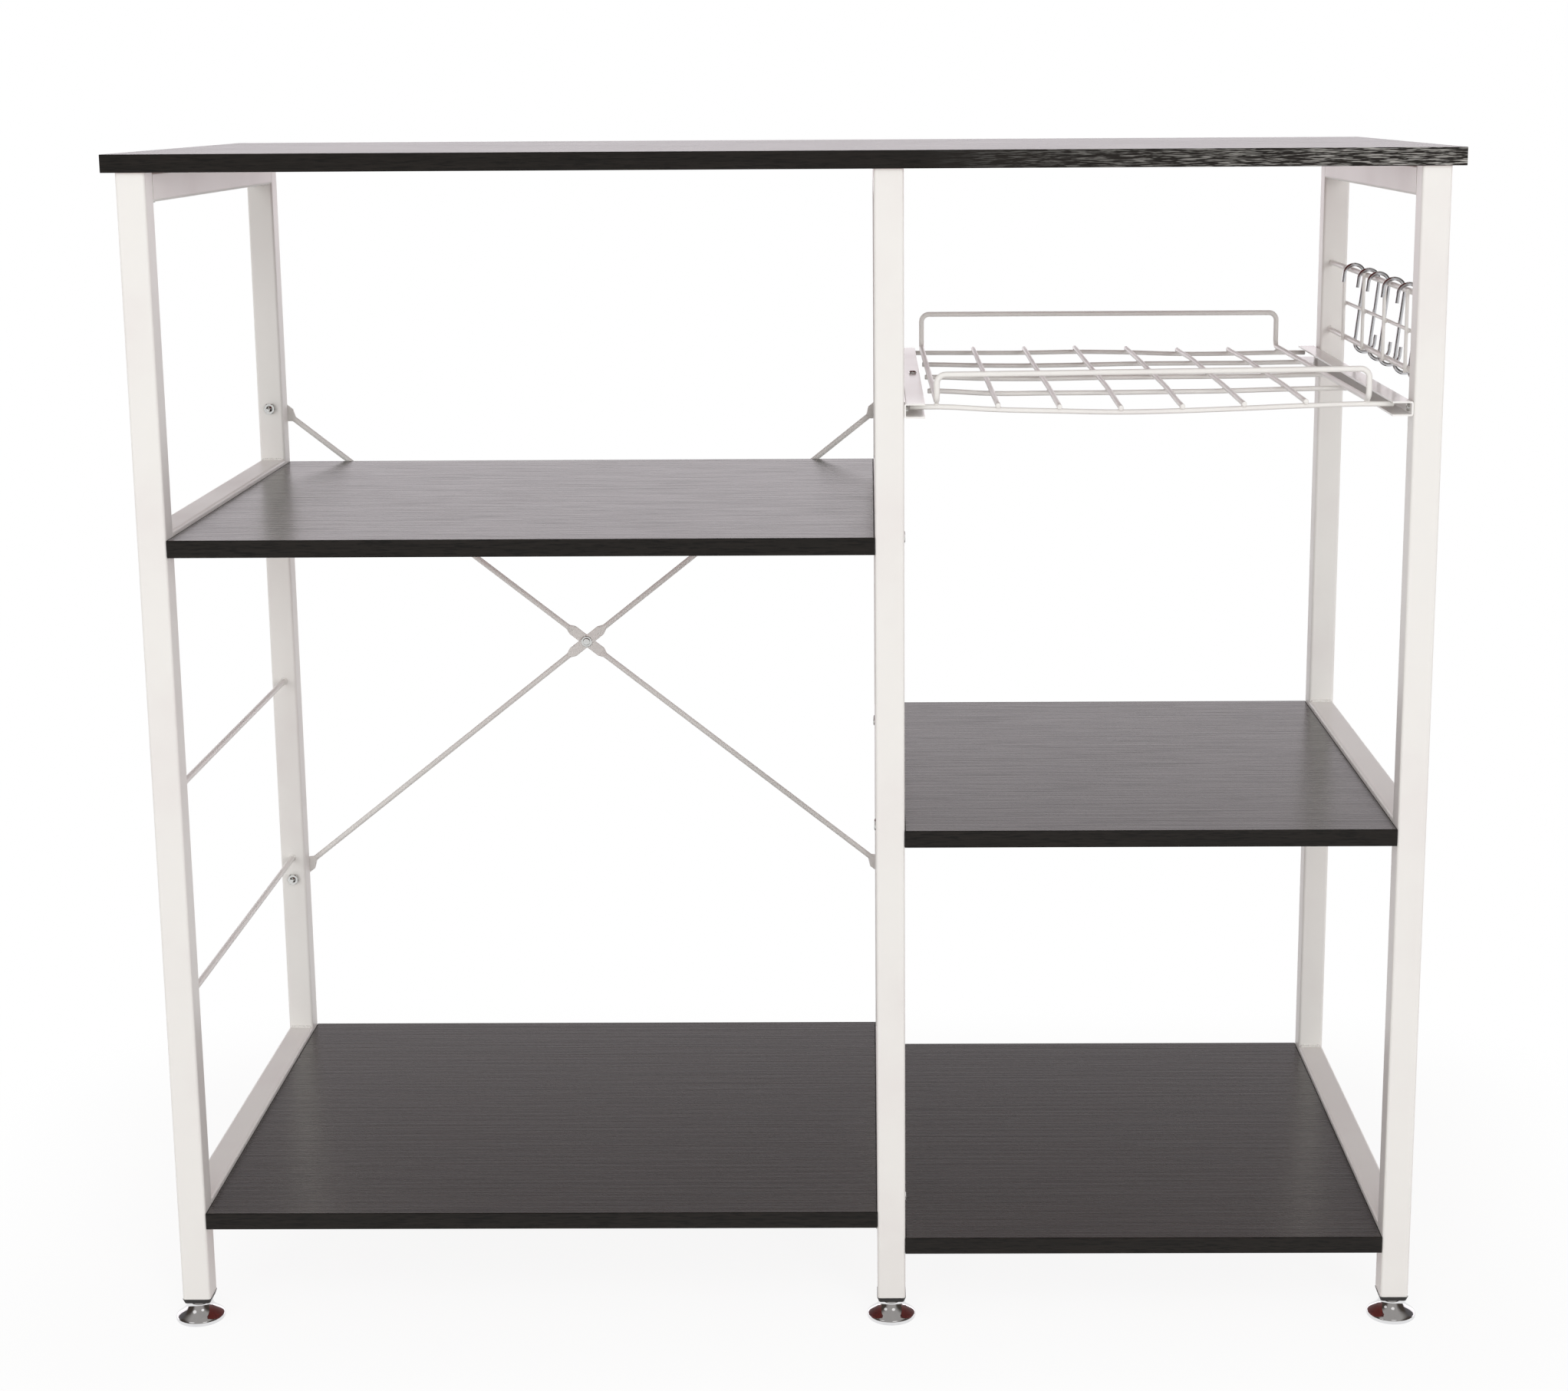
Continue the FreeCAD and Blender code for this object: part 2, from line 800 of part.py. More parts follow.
def all_pieces():
    """Every piece of the rack by its name."""
    pieces = {"top_board": top_board(), "top_board_screws": top_screws()}
    for shelf in shelf_top:
        pieces[shelf + "_shelf"] = shelf_board(shelf)
    for side in bays:
        pieces[side + "_shelf_screws"] = shelf_screws(side)
    for frame in frame_x:
        for end in post_y:
            pieces[f"{frame}_{end}_post"] = post(frame, end)
            pieces[f"{frame}_{end}_foot"] = foot(frame, end)
        pieces[f"{frame}_frame_top_rail"] = top_rail(frame)
    for shelf in shelf_top:
        side = shelf.split("_")[0]
        for frame in (side, "middle"):
            pieces[f"{frame}_frame_{shelf}_rail"] = shelf_rail(frame, shelf)
    pieces["post_plugs"] = plugs()
    low_guard = brace_z["bottom"] + guard_rod_gap
    pieces["left_lower_guard_rod"] = guard_rod(low_guard)
    pieces["left_upper_guard_rod"] = guard_rod(low_guard + guard_rod_pitch)
    pieces["brace_rising_rod"], pieces["brace_falling_rod"] = brace_rods()
    pieces["brace_bolts"] = brace_bolts()
    pieces["brace_nuts"] = brace_nuts()
    pieces["brace_rivet"] = crossing_rivet()
    pieces["left_runner"] = runner(-1)
    pieces["right_runner"] = runner(1)
    pieces["runner_screws"] = runner_screws()
    pieces["basket_rim"] = basket_rim()
    pieces["basket_long_wires"] = basket_tray_long()
    pieces["basket_cross_wires"] = basket_tray_cross()
    pieces["grid_top_rod"] = grid_rod(grid_top, grid_rod_radius, -rail_reach, rail_reach)
    pieces["grid_lower_rod"] = grid_rod(grid_bottom, grid_rod_radius, -rail_reach, rail_reach)
    pieces["grid_middle_rod"] = grid_middle_rod()
    pieces["grid_upright_wires"] = grid_wires()
    for number, share in enumerate(hook_place_shares, 1):
        pieces[f"hook_{number}"] = hook(share)
    return pieces


def main():
    """Write one STEP file for each piece."""
    os.makedirs("parts", exist_ok=True)
    for name, shape in all_pieces().items():
        print(f"{name}: {len(shape.Solids)} solids, {shape.Volume:.0f} mm3")
        shape.exportStep(f"parts/{name}.step")


main()
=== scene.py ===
"""Looks of a storage rack: white powder-coated tube, dark wood-grain boards, chrome feet.

The script builds round the packed part, in metres and in the part's own frame: +X to the
right, +Y to the back, +Z up, with the origin on the floor under the middle of the frames.
"""

import sys
import logging
import math
import random
from collections.abc import Iterable, Sequence
from dataclasses import dataclass
from enum import Enum
from functools import cached_property
from typing import Any

import bmesh
import bpy
from mathutils import Matrix, Vector


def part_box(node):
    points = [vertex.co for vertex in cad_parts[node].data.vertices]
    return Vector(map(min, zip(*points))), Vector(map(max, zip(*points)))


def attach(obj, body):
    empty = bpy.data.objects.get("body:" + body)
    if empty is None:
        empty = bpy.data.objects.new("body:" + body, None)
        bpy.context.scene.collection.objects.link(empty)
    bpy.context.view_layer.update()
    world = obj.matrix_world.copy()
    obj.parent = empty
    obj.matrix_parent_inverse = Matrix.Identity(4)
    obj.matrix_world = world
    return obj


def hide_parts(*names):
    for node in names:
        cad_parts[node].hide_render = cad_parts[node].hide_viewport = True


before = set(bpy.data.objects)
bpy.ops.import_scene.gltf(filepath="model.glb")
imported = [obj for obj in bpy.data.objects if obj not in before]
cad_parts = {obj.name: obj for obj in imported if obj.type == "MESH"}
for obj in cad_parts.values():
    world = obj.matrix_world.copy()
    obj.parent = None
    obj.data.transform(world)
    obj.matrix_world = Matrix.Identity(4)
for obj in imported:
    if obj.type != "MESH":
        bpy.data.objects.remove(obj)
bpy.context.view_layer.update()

LOG = logging.getLogger("rack")

MM = 0.001
UP = Vector((0, 0, 1))
BACK = Vector((0, 1, 0))
RIGHT = Vector((1, 0, 0))

# Points round a turned part and round a wire, and steps along a bend of wire
ROUND_SIDES = 24
WIRE_SIDES = 16
BEND_STEPS = 8

# A face with no side shorter than this belongs to a flat surface and is shaded flat; an
# edge that folds by more than this angle is shaded sharp
FLAT_WIDTH = 4 * MM
SHARP_ANGLE = math.radians(32)

Points = Sequence[Vector]
Line = tuple[Vector, Vector]
Node = bpy.types.Node
Piece = bpy.types.Object
Socket = bpy.types.NodeSocket
Tree = bpy.types.NodeTree


# Choices


class Body(Enum):
    """Bodies of the part that new pieces ride on."""

    RACK = "rack"
    BASKET = "basket"
    LEFT_FRONT_FOOT = "left_front_screw_foot"
    LEFT_BACK_FOOT = "left_back_screw_foot"
    MIDDLE_FRONT_FOOT = "middle_front_screw_foot"
    MIDDLE_BACK_FOOT = "middle_back_screw_foot"
    RIGHT_FRONT_FOOT = "right_front_screw_foot"
    RIGHT_BACK_FOOT = "right_back_screw_foot"


class Slot(Enum):
    """Material slots of the part's record."""

    FRAME_PAINT = "frame_paint"
    WIRE_PAINT = "wire_paint"
    BOARD = "board"
    CHROME = "chrome"
    ZINC = "zinc"


class Place(Enum):
    """Where the three frames stand."""

    LEFT = "left"
    MIDDLE = "middle"
    RIGHT = "right"


class End(Enum):
    """The two ends of a frame, at each of which stands a post."""

    FRONT = "front"
    BACK = "back"


class Side(Enum):
    """The two sides of a thing along an axis."""

    LOW = -1
    HIGH = 1


class Blend(Enum):
    """Blender's names of the ways from one end of a range to the other."""

    LINEAR = "LINEAR"
    SMOOTH = "SMOOTHSTEP"


# Nodes of materials


def linear(colour: str) -> tuple[float, float, float, float]:
    """Turn an sRGB hex colour into the scene-linear values that Blender works in.

    Args:
        colour: Six hex digits after a #.

    Returns:
        Red, green, blue and a full alpha.
    """
    channels = [int(colour[place:place + 2], 16) / 255 for place in (1, 3, 5)]
    red, green, blue = (
        value / 12.92 if value <= 0.04045 else ((value + 0.055) / 1.055) ** 2.4
        for value in channels
    )
    return red, green, blue, 1.0


def add_node(
    tree: Tree, kind: str, inputs: dict[str | int, Any] | None = None, **settings: Any
) -> Node:
    """Add a shader node to a tree with its settings, socket values and incoming links.

    Args:
        tree: Node tree that takes the node.
        kind: Blender's type name of the node, without ShaderNode before it.
        inputs: Input sockets by name or number, each with its value, the output socket
            that feeds it, or a node that feeds it by the first output in use.
        settings: Attributes of the node itself.

    Returns:
        The new node.
    """
    node = tree.nodes.new("ShaderNode" + kind)
    for name, value in settings.items():
        setattr(node, name, value)
    for socket, value in (inputs or {}).items():
        if isinstance(value, Node):
            value = next(output for output in value.outputs if output.enabled)
        if isinstance(value, Socket):
            tree.links.new(value, node.inputs[socket])
        else:
            node.inputs[socket].default_value = value
    return node


def between(limits: tuple[float, float]) -> dict[str, float]:
    """Inputs of a map range that starts at one limit and ends at the other."""
    return {"From Min": limits[0], "From Max": limits[1]}


def fresh_tree(owner: bpy.types.Material | bpy.types.World) -> Tree:
    """Empty node tree of a new material or world."""
    owner.use_nodes = True
    owner.node_tree.nodes.clear()
    return owner.node_tree


def placed(name: str, data: bpy.types.Mesh | bpy.types.Light | bpy.types.Camera) -> Piece:
    """Object that shows a mesh, a lamp or a camera in the scene."""
    item = bpy.data.objects.new(name, data)
    bpy.context.scene.collection.objects.link(item)
    return item


# Finishes


@dataclass(frozen=True, kw_only=True)
class Finish:
    """A finish of the rack that can make its own material."""

    name: str

    def material(self) -> bpy.types.Material:
        """Make the material, or give the one that was made before.

        Returns:
            The material.
        """
        made = bpy.data.materials.get(self.name)
        if made:
            return made
        made = bpy.data.materials.new(self.name)
        tree = fresh_tree(made)
        place = add_node(tree, "TexCoord").outputs["Object"]
        shader = self.shader(tree, place)
        add_node(tree, "OutputMaterial", {"Surface": shader})
        return made

    def shader(self, tree: Tree, place: Socket) -> Node:
        """Principled shader of the finish; each kind of finish has its own.

        Args:
            tree: Node tree of the material.
            place: Socket with the coordinates on the piece, in metres.

        Returns:
            The shader.
        """
        raise NotImplementedError


@dataclass(frozen=True, kw_only=True)
class PowderCoat(Finish):
    """Epoxy-polyester powder coat, sprayed and baked on steel.

    The eye sees a warm satin white with the faint swells of orange peel, and a hardly
    darker cast where the coat is thin.
    """

    colour: str = "#ECEAE6"
    thin_colour: str = "#E8E4E1"
    cast_width: float = 90 * MM
    cast_range: tuple[float, float] = (0.42, 0.75)
    roughness: float
    gloss_swing: tuple[float, float] = (-0.05, 0.07)
    peel_width: float
    peel_height: float
    peel_strength: float = 0.35
    ior: float = 1.5

    def shader(self, tree: Tree, place: Socket) -> Node:
        """Principled shader of the coat.

        Args:
            tree: Node tree of the material.
            place: Socket with the coordinates on the piece, in metres.

        Returns:
            The shader.
        """
        cast = add_node(
            tree, "TexNoise",
            {"Scale": 1 / self.cast_width, "Detail": 3.0, "Roughness": 0.55,
             "Vector": place})
        thin = add_node(
            tree, "MapRange", {**between(self.cast_range), "Value": cast},
            interpolation_type=Blend.SMOOTH.value)
        coat = add_node(
            tree, "Mix",
            {"A": linear(self.colour), "B": linear(self.thin_colour), "Factor": thin},
            data_type="RGBA")
        peel = add_node(
            tree, "TexNoise",
            {"Scale": 1 / self.peel_width, "Detail": 1.5, "Roughness": 0.4,
             "Vector": place})
        bump = add_node(
            tree, "Bump",
            {"Strength": self.peel_strength, "Distance": self.peel_height, "Height": peel})
        glossy, dull = (self.roughness + swing for swing in self.gloss_swing)
        gloss = add_node(
            tree, "MapRange", {"To Min": glossy, "To Max": dull, "Value": cast})
        return add_node(
            tree, "BsdfPrincipled",
            {"IOR": self.ior, "Base Color": coat, "Roughness": gloss, "Normal": bump})


@dataclass(frozen=True, kw_only=True)
class WoodGrainFoil(Finish):
    """Melamine foil with an embossed oak pore, pressed on particle board.

    The eye sees a charcoal brown with fine straight lines from left to right, which shine
    where the light skims over the foil and stay dull in the pores.  The real lines lie
    about 5 mm apart; they are drawn at about twice that, so that they show in the render.
    """

    colour: str
    fibre_colour: str
    fibre_width: float
    fibre_length: float
    fibre_range: tuple[float, float] = (0.35, 0.65)
    pore_colour: str
    pore_width: float
    pore_length: float
    pore_depth: float
    pore_range: tuple[float, float] = (0.50, 0.62)
    pore_strength: float = 0.5
    pore_dullness: float = 0.06
    fibre_relief: float = 4.0
    drift_share: float = 0.6
    cloud_width: float
    cloud_dullness: float = 0.015
    roughness: float
    shine: float
    ior: float = 1.52

    def shader(self, tree: Tree, place: Socket) -> Node:
        """Principled shader of the foil.

        Args:
            tree: Node tree of the material.
            place: Socket with the coordinates on the piece, in metres.

        Returns:
            The shader.
        """
        drift = add_node(
            tree, "TexNoise",
            {"Scale": 1 / self.fibre_length, "Detail": 1.0, "Vector": place})
        sway = (UP + BACK) * self.pore_width * self.drift_share
        grain = add_node(
            tree, "VectorMath", {0: drift.outputs["Color"], 1: sway, 2: place},
            operation="MULTIPLY_ADD")
        pores = self.streaks(
            tree, grain, self.pore_length, self.pore_width, self.pore_range, Blend.SMOOTH)
        fibres = self.streaks(
            tree, grain, self.fibre_length, self.fibre_width, self.fibre_range,
            Blend.LINEAR)
        clouds = add_node(
            tree, "TexNoise",
            {"Scale": 1 / self.cloud_width, "Detail": 2.0, "Vector": place})
        ground = add_node(
            tree, "Mix",
            {"A": linear(self.colour), "B": linear(self.fibre_colour), "Factor": fibres},
            data_type="RGBA")
        surface = add_node(
            tree, "Mix",
            {"B": linear(self.pore_colour), "Factor": pores, "A": ground,
             **self.pore_links(tree, place)}, data_type="RGBA")
        dull = add_node(
            tree, "MapRange",
            {"To Min": self.roughness, "To Max": self.roughness + self.pore_dullness,
             "Value": pores})
        gloss = add_node(
            tree, "Math", {0: clouds, 1: self.cloud_dullness, 2: dull},
            operation="MULTIPLY_ADD")
        relief = add_node(
            tree, "Math", {0: fibres, 1: self.fibre_relief, 2: pores},
            operation="MULTIPLY_ADD")
        bump = add_node(
            tree, "Bump",
            {"Strength": self.pore_strength, "Distance": self.pore_depth, "Height": relief},
            invert=True)
        return add_node(
            tree, "BsdfPrincipled",
            {"IOR": self.ior, "Specular IOR Level": self.shine, "Base Color": surface,
             "Roughness": gloss, "Normal": bump})

    def pore_links(self, tree: Tree, place: Socket) -> dict[str, Node]:
        """Links that colour the pores by their place: none, for one colour all over."""
        return {}

    @staticmethod
    def streaks(
        tree: Tree, grain: Socket, length: float, width: float, tones: tuple[float, float],
        blend: Blend
    ) -> Node:
        """Streaks along X, drawn out of noise.

        Args:
            tree: Node tree of the material.
            grain: Coordinates to draw them in.
            length: Length of a streak in metres.
            width: Width of a streak in metres.
            tones: Where in the noise a streak starts and where it is full.
            blend: Way from the one to the other.

        Returns:
            Node with the streaks, from 0 to 1.
        """
        drawn = add_node(
            tree, "VectorMath", {0: grain, 1: Vector((1 / length, 1 / width, 1 / width))},
            operation="MULTIPLY")
        noise = add_node(
            tree, "TexNoise",
            {"Scale": 1.0, "Detail": 2.0, "Roughness": 0.6, "Vector": drawn})
        return add_node(
            tree, "MapRange", {**between(tones), "Value": noise},
            interpolation_type=blend.value)


@dataclass(frozen=True, kw_only=True)
class EdgeBandWithPaintedHighlight(WoodGrainFoil):
    """Wood-grain foil band whose pores catch the light along the front edge.

    The eye sees the dark band of the other edges, with pale ticks of painted highlight
    that grow toward the right end of the front, where light skims the pores.
    """

    # Painted highlight: colour of the lit pores, range along X where it grows in, front
    # limit in Y
    painted_highlight_colour: str
    painted_highlight_range: tuple[float, float]
    front: float

    def pore_links(self, tree: Tree, place: Socket) -> dict[str, Node]:
        """Links that turn the pores pale toward the right end of the front.

        Args:
            tree: Node tree of the material.
            place: Socket with the coordinates on the piece, in metres.

        Returns:
            The link to the pores' colour.
        """
        # Painted highlight: the pores turn pale toward the right end, on the front face
        # only
        split = add_node(tree, "SeparateXYZ", {"Vector": place})
        along = add_node(
            tree, "MapRange", {**between(self.painted_highlight_range), "Value": split.outputs["X"]})
        before = add_node(
            tree, "Math", {0: split.outputs["Y"], 1: self.front}, operation="LESS_THAN")
        share = add_node(tree, "Math", {0: along, 1: before}, operation="MULTIPLY")
        tone = add_node(
            tree, "Mix",
            {"A": linear(self.pore_colour), "B": linear(self.painted_highlight_colour), "Factor": share},
            data_type="RGBA")
        return {"B": tone}


@dataclass(frozen=True, kw_only=True)
class PlatedMetal(Finish):
    """Plated steel: chrome over nickel for a mirror, zinc for a softer grey.

    The eye sees the surroundings in it, broken a little by the polishing marks or, on zinc,
    by a faint blue and yellow cast of the passivation.
    """

    colour: str
    cast_colour: str
    roughness: float
    mark_width: float
    mark_depth: float
    mark_range: tuple[float, float] = (0.3, 0.7)
    mark_gloss: tuple[float, float] = (0.7, 1.4)
    mark_strength: float = 0.2

    def shader(self, tree: Tree, place: Socket) -> Node:
        """Principled shader of the plating.

        Args:
            tree: Node tree of the material.
            place: Socket with the coordinates on the piece, in metres.

        Returns:
            The shader.
        """
        marks = add_node(
            tree, "TexNoise",
            {"Scale": 1 / self.mark_width, "Detail": 3.0, "Vector": place})
        cast = add_node(
            tree, "Mix",
            {"A": linear(self.colour), "B": linear(self.cast_colour), "Factor": marks},
            data_type="RGBA")
        glossy, dull = (self.roughness * share for share in self.mark_gloss)
        gloss = add_node(
            tree, "MapRange",
            {**between(self.mark_range), "To Min": glossy, "To Max": dull, "Value": marks})
        bump = add_node(
            tree, "Bump",
            {"Strength": self.mark_strength, "Distance": self.mark_depth, "Height": marks})
        return add_node(
            tree, "BsdfPrincipled",
            {"Metallic": 1.0, "Base Color": cast, "Roughness": gloss, "Normal": bump})


@dataclass(frozen=True, kw_only=True)
class MouldedPlastic(Finish):
    """Polyethylene, injection moulded.

    The eye sees a dull black with the fine grain of a spark-eroded mould.
    """

    colour: str
    worn_colour: str
    roughness: float
    grain_width: float
    grain_depth: float
    grain_strength: float = 0.4
    ior: float = 1.51

    def shader(self, tree: Tree, place: Socket) -> Node:
        """Principled shader of the plastic.

        Args:
            tree: Node tree of the material.
            place: Socket with the coordinates on the piece, in metres.

        Returns:
            The shader.
        """
        grain = add_node(
            tree, "TexNoise",
            {"Scale": 1 / self.grain_width, "Detail": 2.0, "Vector": place})
        worn = add_node(
            tree, "Mix",
            {"A": linear(self.colour), "B": linear(self.worn_colour), "Factor": grain},
            data_type="RGBA")
        bump = add_node(
            tree, "Bump",
            {"Strength": self.grain_strength, "Distance": self.grain_depth,
             "Height": grain})
        return add_node(
            tree, "BsdfPrincipled",
            {"Roughness": self.roughness, "IOR": self.ior, "Base Color": worn,
             "Normal": bump})


# Satin white on the square tube and its welds
TUBE_PAINT = PowderCoat(
    name="powder_coat_on_tube", roughness=0.35, peel_width=1.6 * MM, peel_height=0.03 * MM)
# The same paint on wire, where the coat lies smoother and a little glossier
WIRE_PAINT = PowderCoat(
    name="powder_coat_on_wire", thin_colour="#E7E3E0", roughness=0.3, peel_width=1.2 * MM,
    peel_height=0.006 * MM)
# Glossier on the folded sheet of the channels, which mirror their own walls
CHANNEL_PAINT = PowderCoat(
    name="powder_coat_on_channel", colour="#EEECE9", roughness=0.18, peel_width=1.6 * MM,
    peel_height=0.006 * MM)
# Charcoal brown that turns grey where it mirrors a bright room
BOARD_FOIL = WoodGrainFoil(
    name="wood_grain_foil", colour="#352F2C", fibre_colour="#3F3936", pore_colour="#2A2522",
    roughness=0.25, shine=0.85, pore_width=1.0 * MM, pore_length=60 * MM,
    fibre_width=4.2 * MM, fibre_length=170 * MM, cloud_width=90 * MM, pore_depth=0.012 * MM)
# Red-brown underside, of which the chrome bells show a glimpse
BACKING_FOIL = WoodGrainFoil(
    name="mahogany_backing_foil", colour="#7A2C24", fibre_colour="#863028",
    pore_colour="#5C211C", roughness=0.5, shine=0.3, pore_width=1.0 * MM,
    pore_length=40 * MM, fibre_width=3.0 * MM, fibre_length=300 * MM, cloud_width=90 * MM,
    pore_depth=0.02 * MM)
# Nearly black band on the edges of the boards
BOARD_BAND = WoodGrainFoil(
    name="wood_grain_edge_band", colour="#1A1714", fibre_colour="#201C19",
    pore_colour="#110F0D", roughness=0.42, shine=0.2, pore_width=0.8 * MM,
    pore_length=12 * MM, fibre_width=2.4 * MM, fibre_length=60 * MM, cloud_width=50 * MM,
    pore_depth=0.012 * MM)
# The same band on the top board, with pale ticks of painted highlight at the right end of
# its front
TOP_BAND = EdgeBandWithPaintedHighlight(**{
    **vars(BOARD_BAND), "name": "wood_grain_edge_band_of_the_top", "pore_width": 0.5 * MM,
    "painted_highlight_colour": "#A8A6A1", "painted_highlight_range": (90 * MM, 440 * MM), "front": -201 * MM})
# Bright mirror on the bells of the feet
CHROME = PlatedMetal(
    name="chrome_plate", colour="#E9E9EA", cast_colour="#DDDDDF", roughness=0.05,
    mark_width=4 * MM, mark_depth=0.004 * MM)
# Chrome straight on drawn wire, whose fine drawing marks make the mirror soft
HOOK_CHROME = PlatedMetal(
    name="chrome_plate_on_wire", colour="#CDCDCF", cast_colour="#BDBDC0", roughness=0.14,
    mark_width=1.2 * MM, mark_depth=0.004 * MM)
# Silver grey on screws, bolts and nuts
ZINC = PlatedMetal(
    name="bright_zinc_plate", colour="#D6D8DA", cast_colour="#CDCCC6", roughness=0.16,
    mark_width=1.1 * MM, mark_depth=0.006 * MM)
# Dull black on the plugs in the posts
BLACK_PLASTIC = MouldedPlastic(
    name="moulded_polyethylene", colour="#1B1917", worn_colour="#262422", roughness=0.46,
    grain_width=0.5 * MM, grain_depth=0.02 * MM)


# Shapes


def circle_angles(sides: int) -> list[float]:
    """Angles of evenly spaced points round a circle."""
    return [2 * math.pi * k / sides for k in range(sides)]


def clamped(value: float) -> float:
    """A value kept between 0 and 1."""
    return min(1.0, max(0.0, value))


def spread(start: float, end: float, count: int) -> list[float]:
    """Evenly spaced places, with both ends among them."""
    return [start + (end - start) * k / (count - 1) for k in range(count)]


def filleted(points: Points, radius: float) -> list[Vector]:
    """Round the corners of a closed line of points.

    Args:
        points: The corners.
        radius: Bend radius.

    Returns:
        The points along the bends.
    """
    path: list[Vector] = []
    for index, corner in enumerate(points):
        before = (points[index - 1] - corner).normalized()
        after = (points[(index + 1) % len(points)] - corner).normalized()
        half = before.angle(after) / 2
        reach = radius / math.tan(half)
        middle = corner + (before + after).normalized() * (radius / math.sin(half))
        start, end = corner + before * reach - middle, corner + after * reach - middle
        for share in spread(0, 1, BEND_STEPS + 1):
            path.append(middle + start.slerp(end, share).normalized() * radius)
    return path


def through(places: Sequence[float], values: Sequence[float], place: float) -> float:
    """Smooth curve through values at rising places.

    Args:
        places: Rising places.
        values: Value at each place.
        place: Where to read the curve.

    Returns:
        The curve's value there, and the end value beyond the ends.
    """
    if place <= places[0]:
        return values[0]
    if place >= places[-1]:
        return values[-1]
    index = next(i for i in range(len(places) - 1) if place <= places[i + 1])
    width = places[index + 1] - places[index]
    share = (place - places[index]) / width

    def slope(at: int) -> float:
        """Slope at a place from its neighbours, level at the ends."""
        if at in (0, len(places) - 1):
            return 0.0
        return (values[at + 1] - values[at - 1]) / (places[at + 1] - places[at - 1])

    rise, run = share * share * (3 - 2 * share), share * (1 - share)
    start, end = values[index], values[index + 1]
    bend = slope(index) * (1 - share) - slope(index + 1) * share
    return start + (end - start) * rise + bend * run * width


@dataclass(frozen=True)
class Thread:
    """Sizes of a thread that narrows over a taper to a share of its radius at the tip."""

    radius: float
    depth: float
    pitch: float
    taper: float
    tip_share: float = 0.45
    steps: int = 4


@dataclass(frozen=True)
class ScrewKind:
    """Sizes of one kind of screw or bolt, and the proportions of its cross recess.

    The shares of the recess are of the head's radius, but for its depth and the height of
    the head's rim, which are shares of the head's height.
    """

    head_radius: float
    head_height: float
    thread: Thread
    rim_share: float = 0.45
    crown_power: float = 2.6
    recess_share: float = 0.62
    arm_share: float = 0.62
    arm_flank_share: float = 0.16
    half_width_share: float = 0.255
    width_flank_share: float = 0.14

    def level(self, x: float, y: float) -> float:
        """Height of the head's face over its seat.

        Args:
            x: Place along one arm of the cross.
            y: Place along the other.

        Returns:
            The height in metres.
        """
        x, y = abs(x) / self.head_radius, abs(y) / self.head_radius
        crown = math.sqrt(1 - clamped(math.hypot(x, y)) ** self.crown_power)
        inside = clamped((self.arm_share - max(x, y)) / self.arm_flank_share)
        narrow = clamped((self.half_width_share - min(x, y)) / self.width_flank_share)
        share = self.rim_share + (1 - self.rim_share) * crown
        return self.head_height * (share - self.recess_share * inside * narrow)


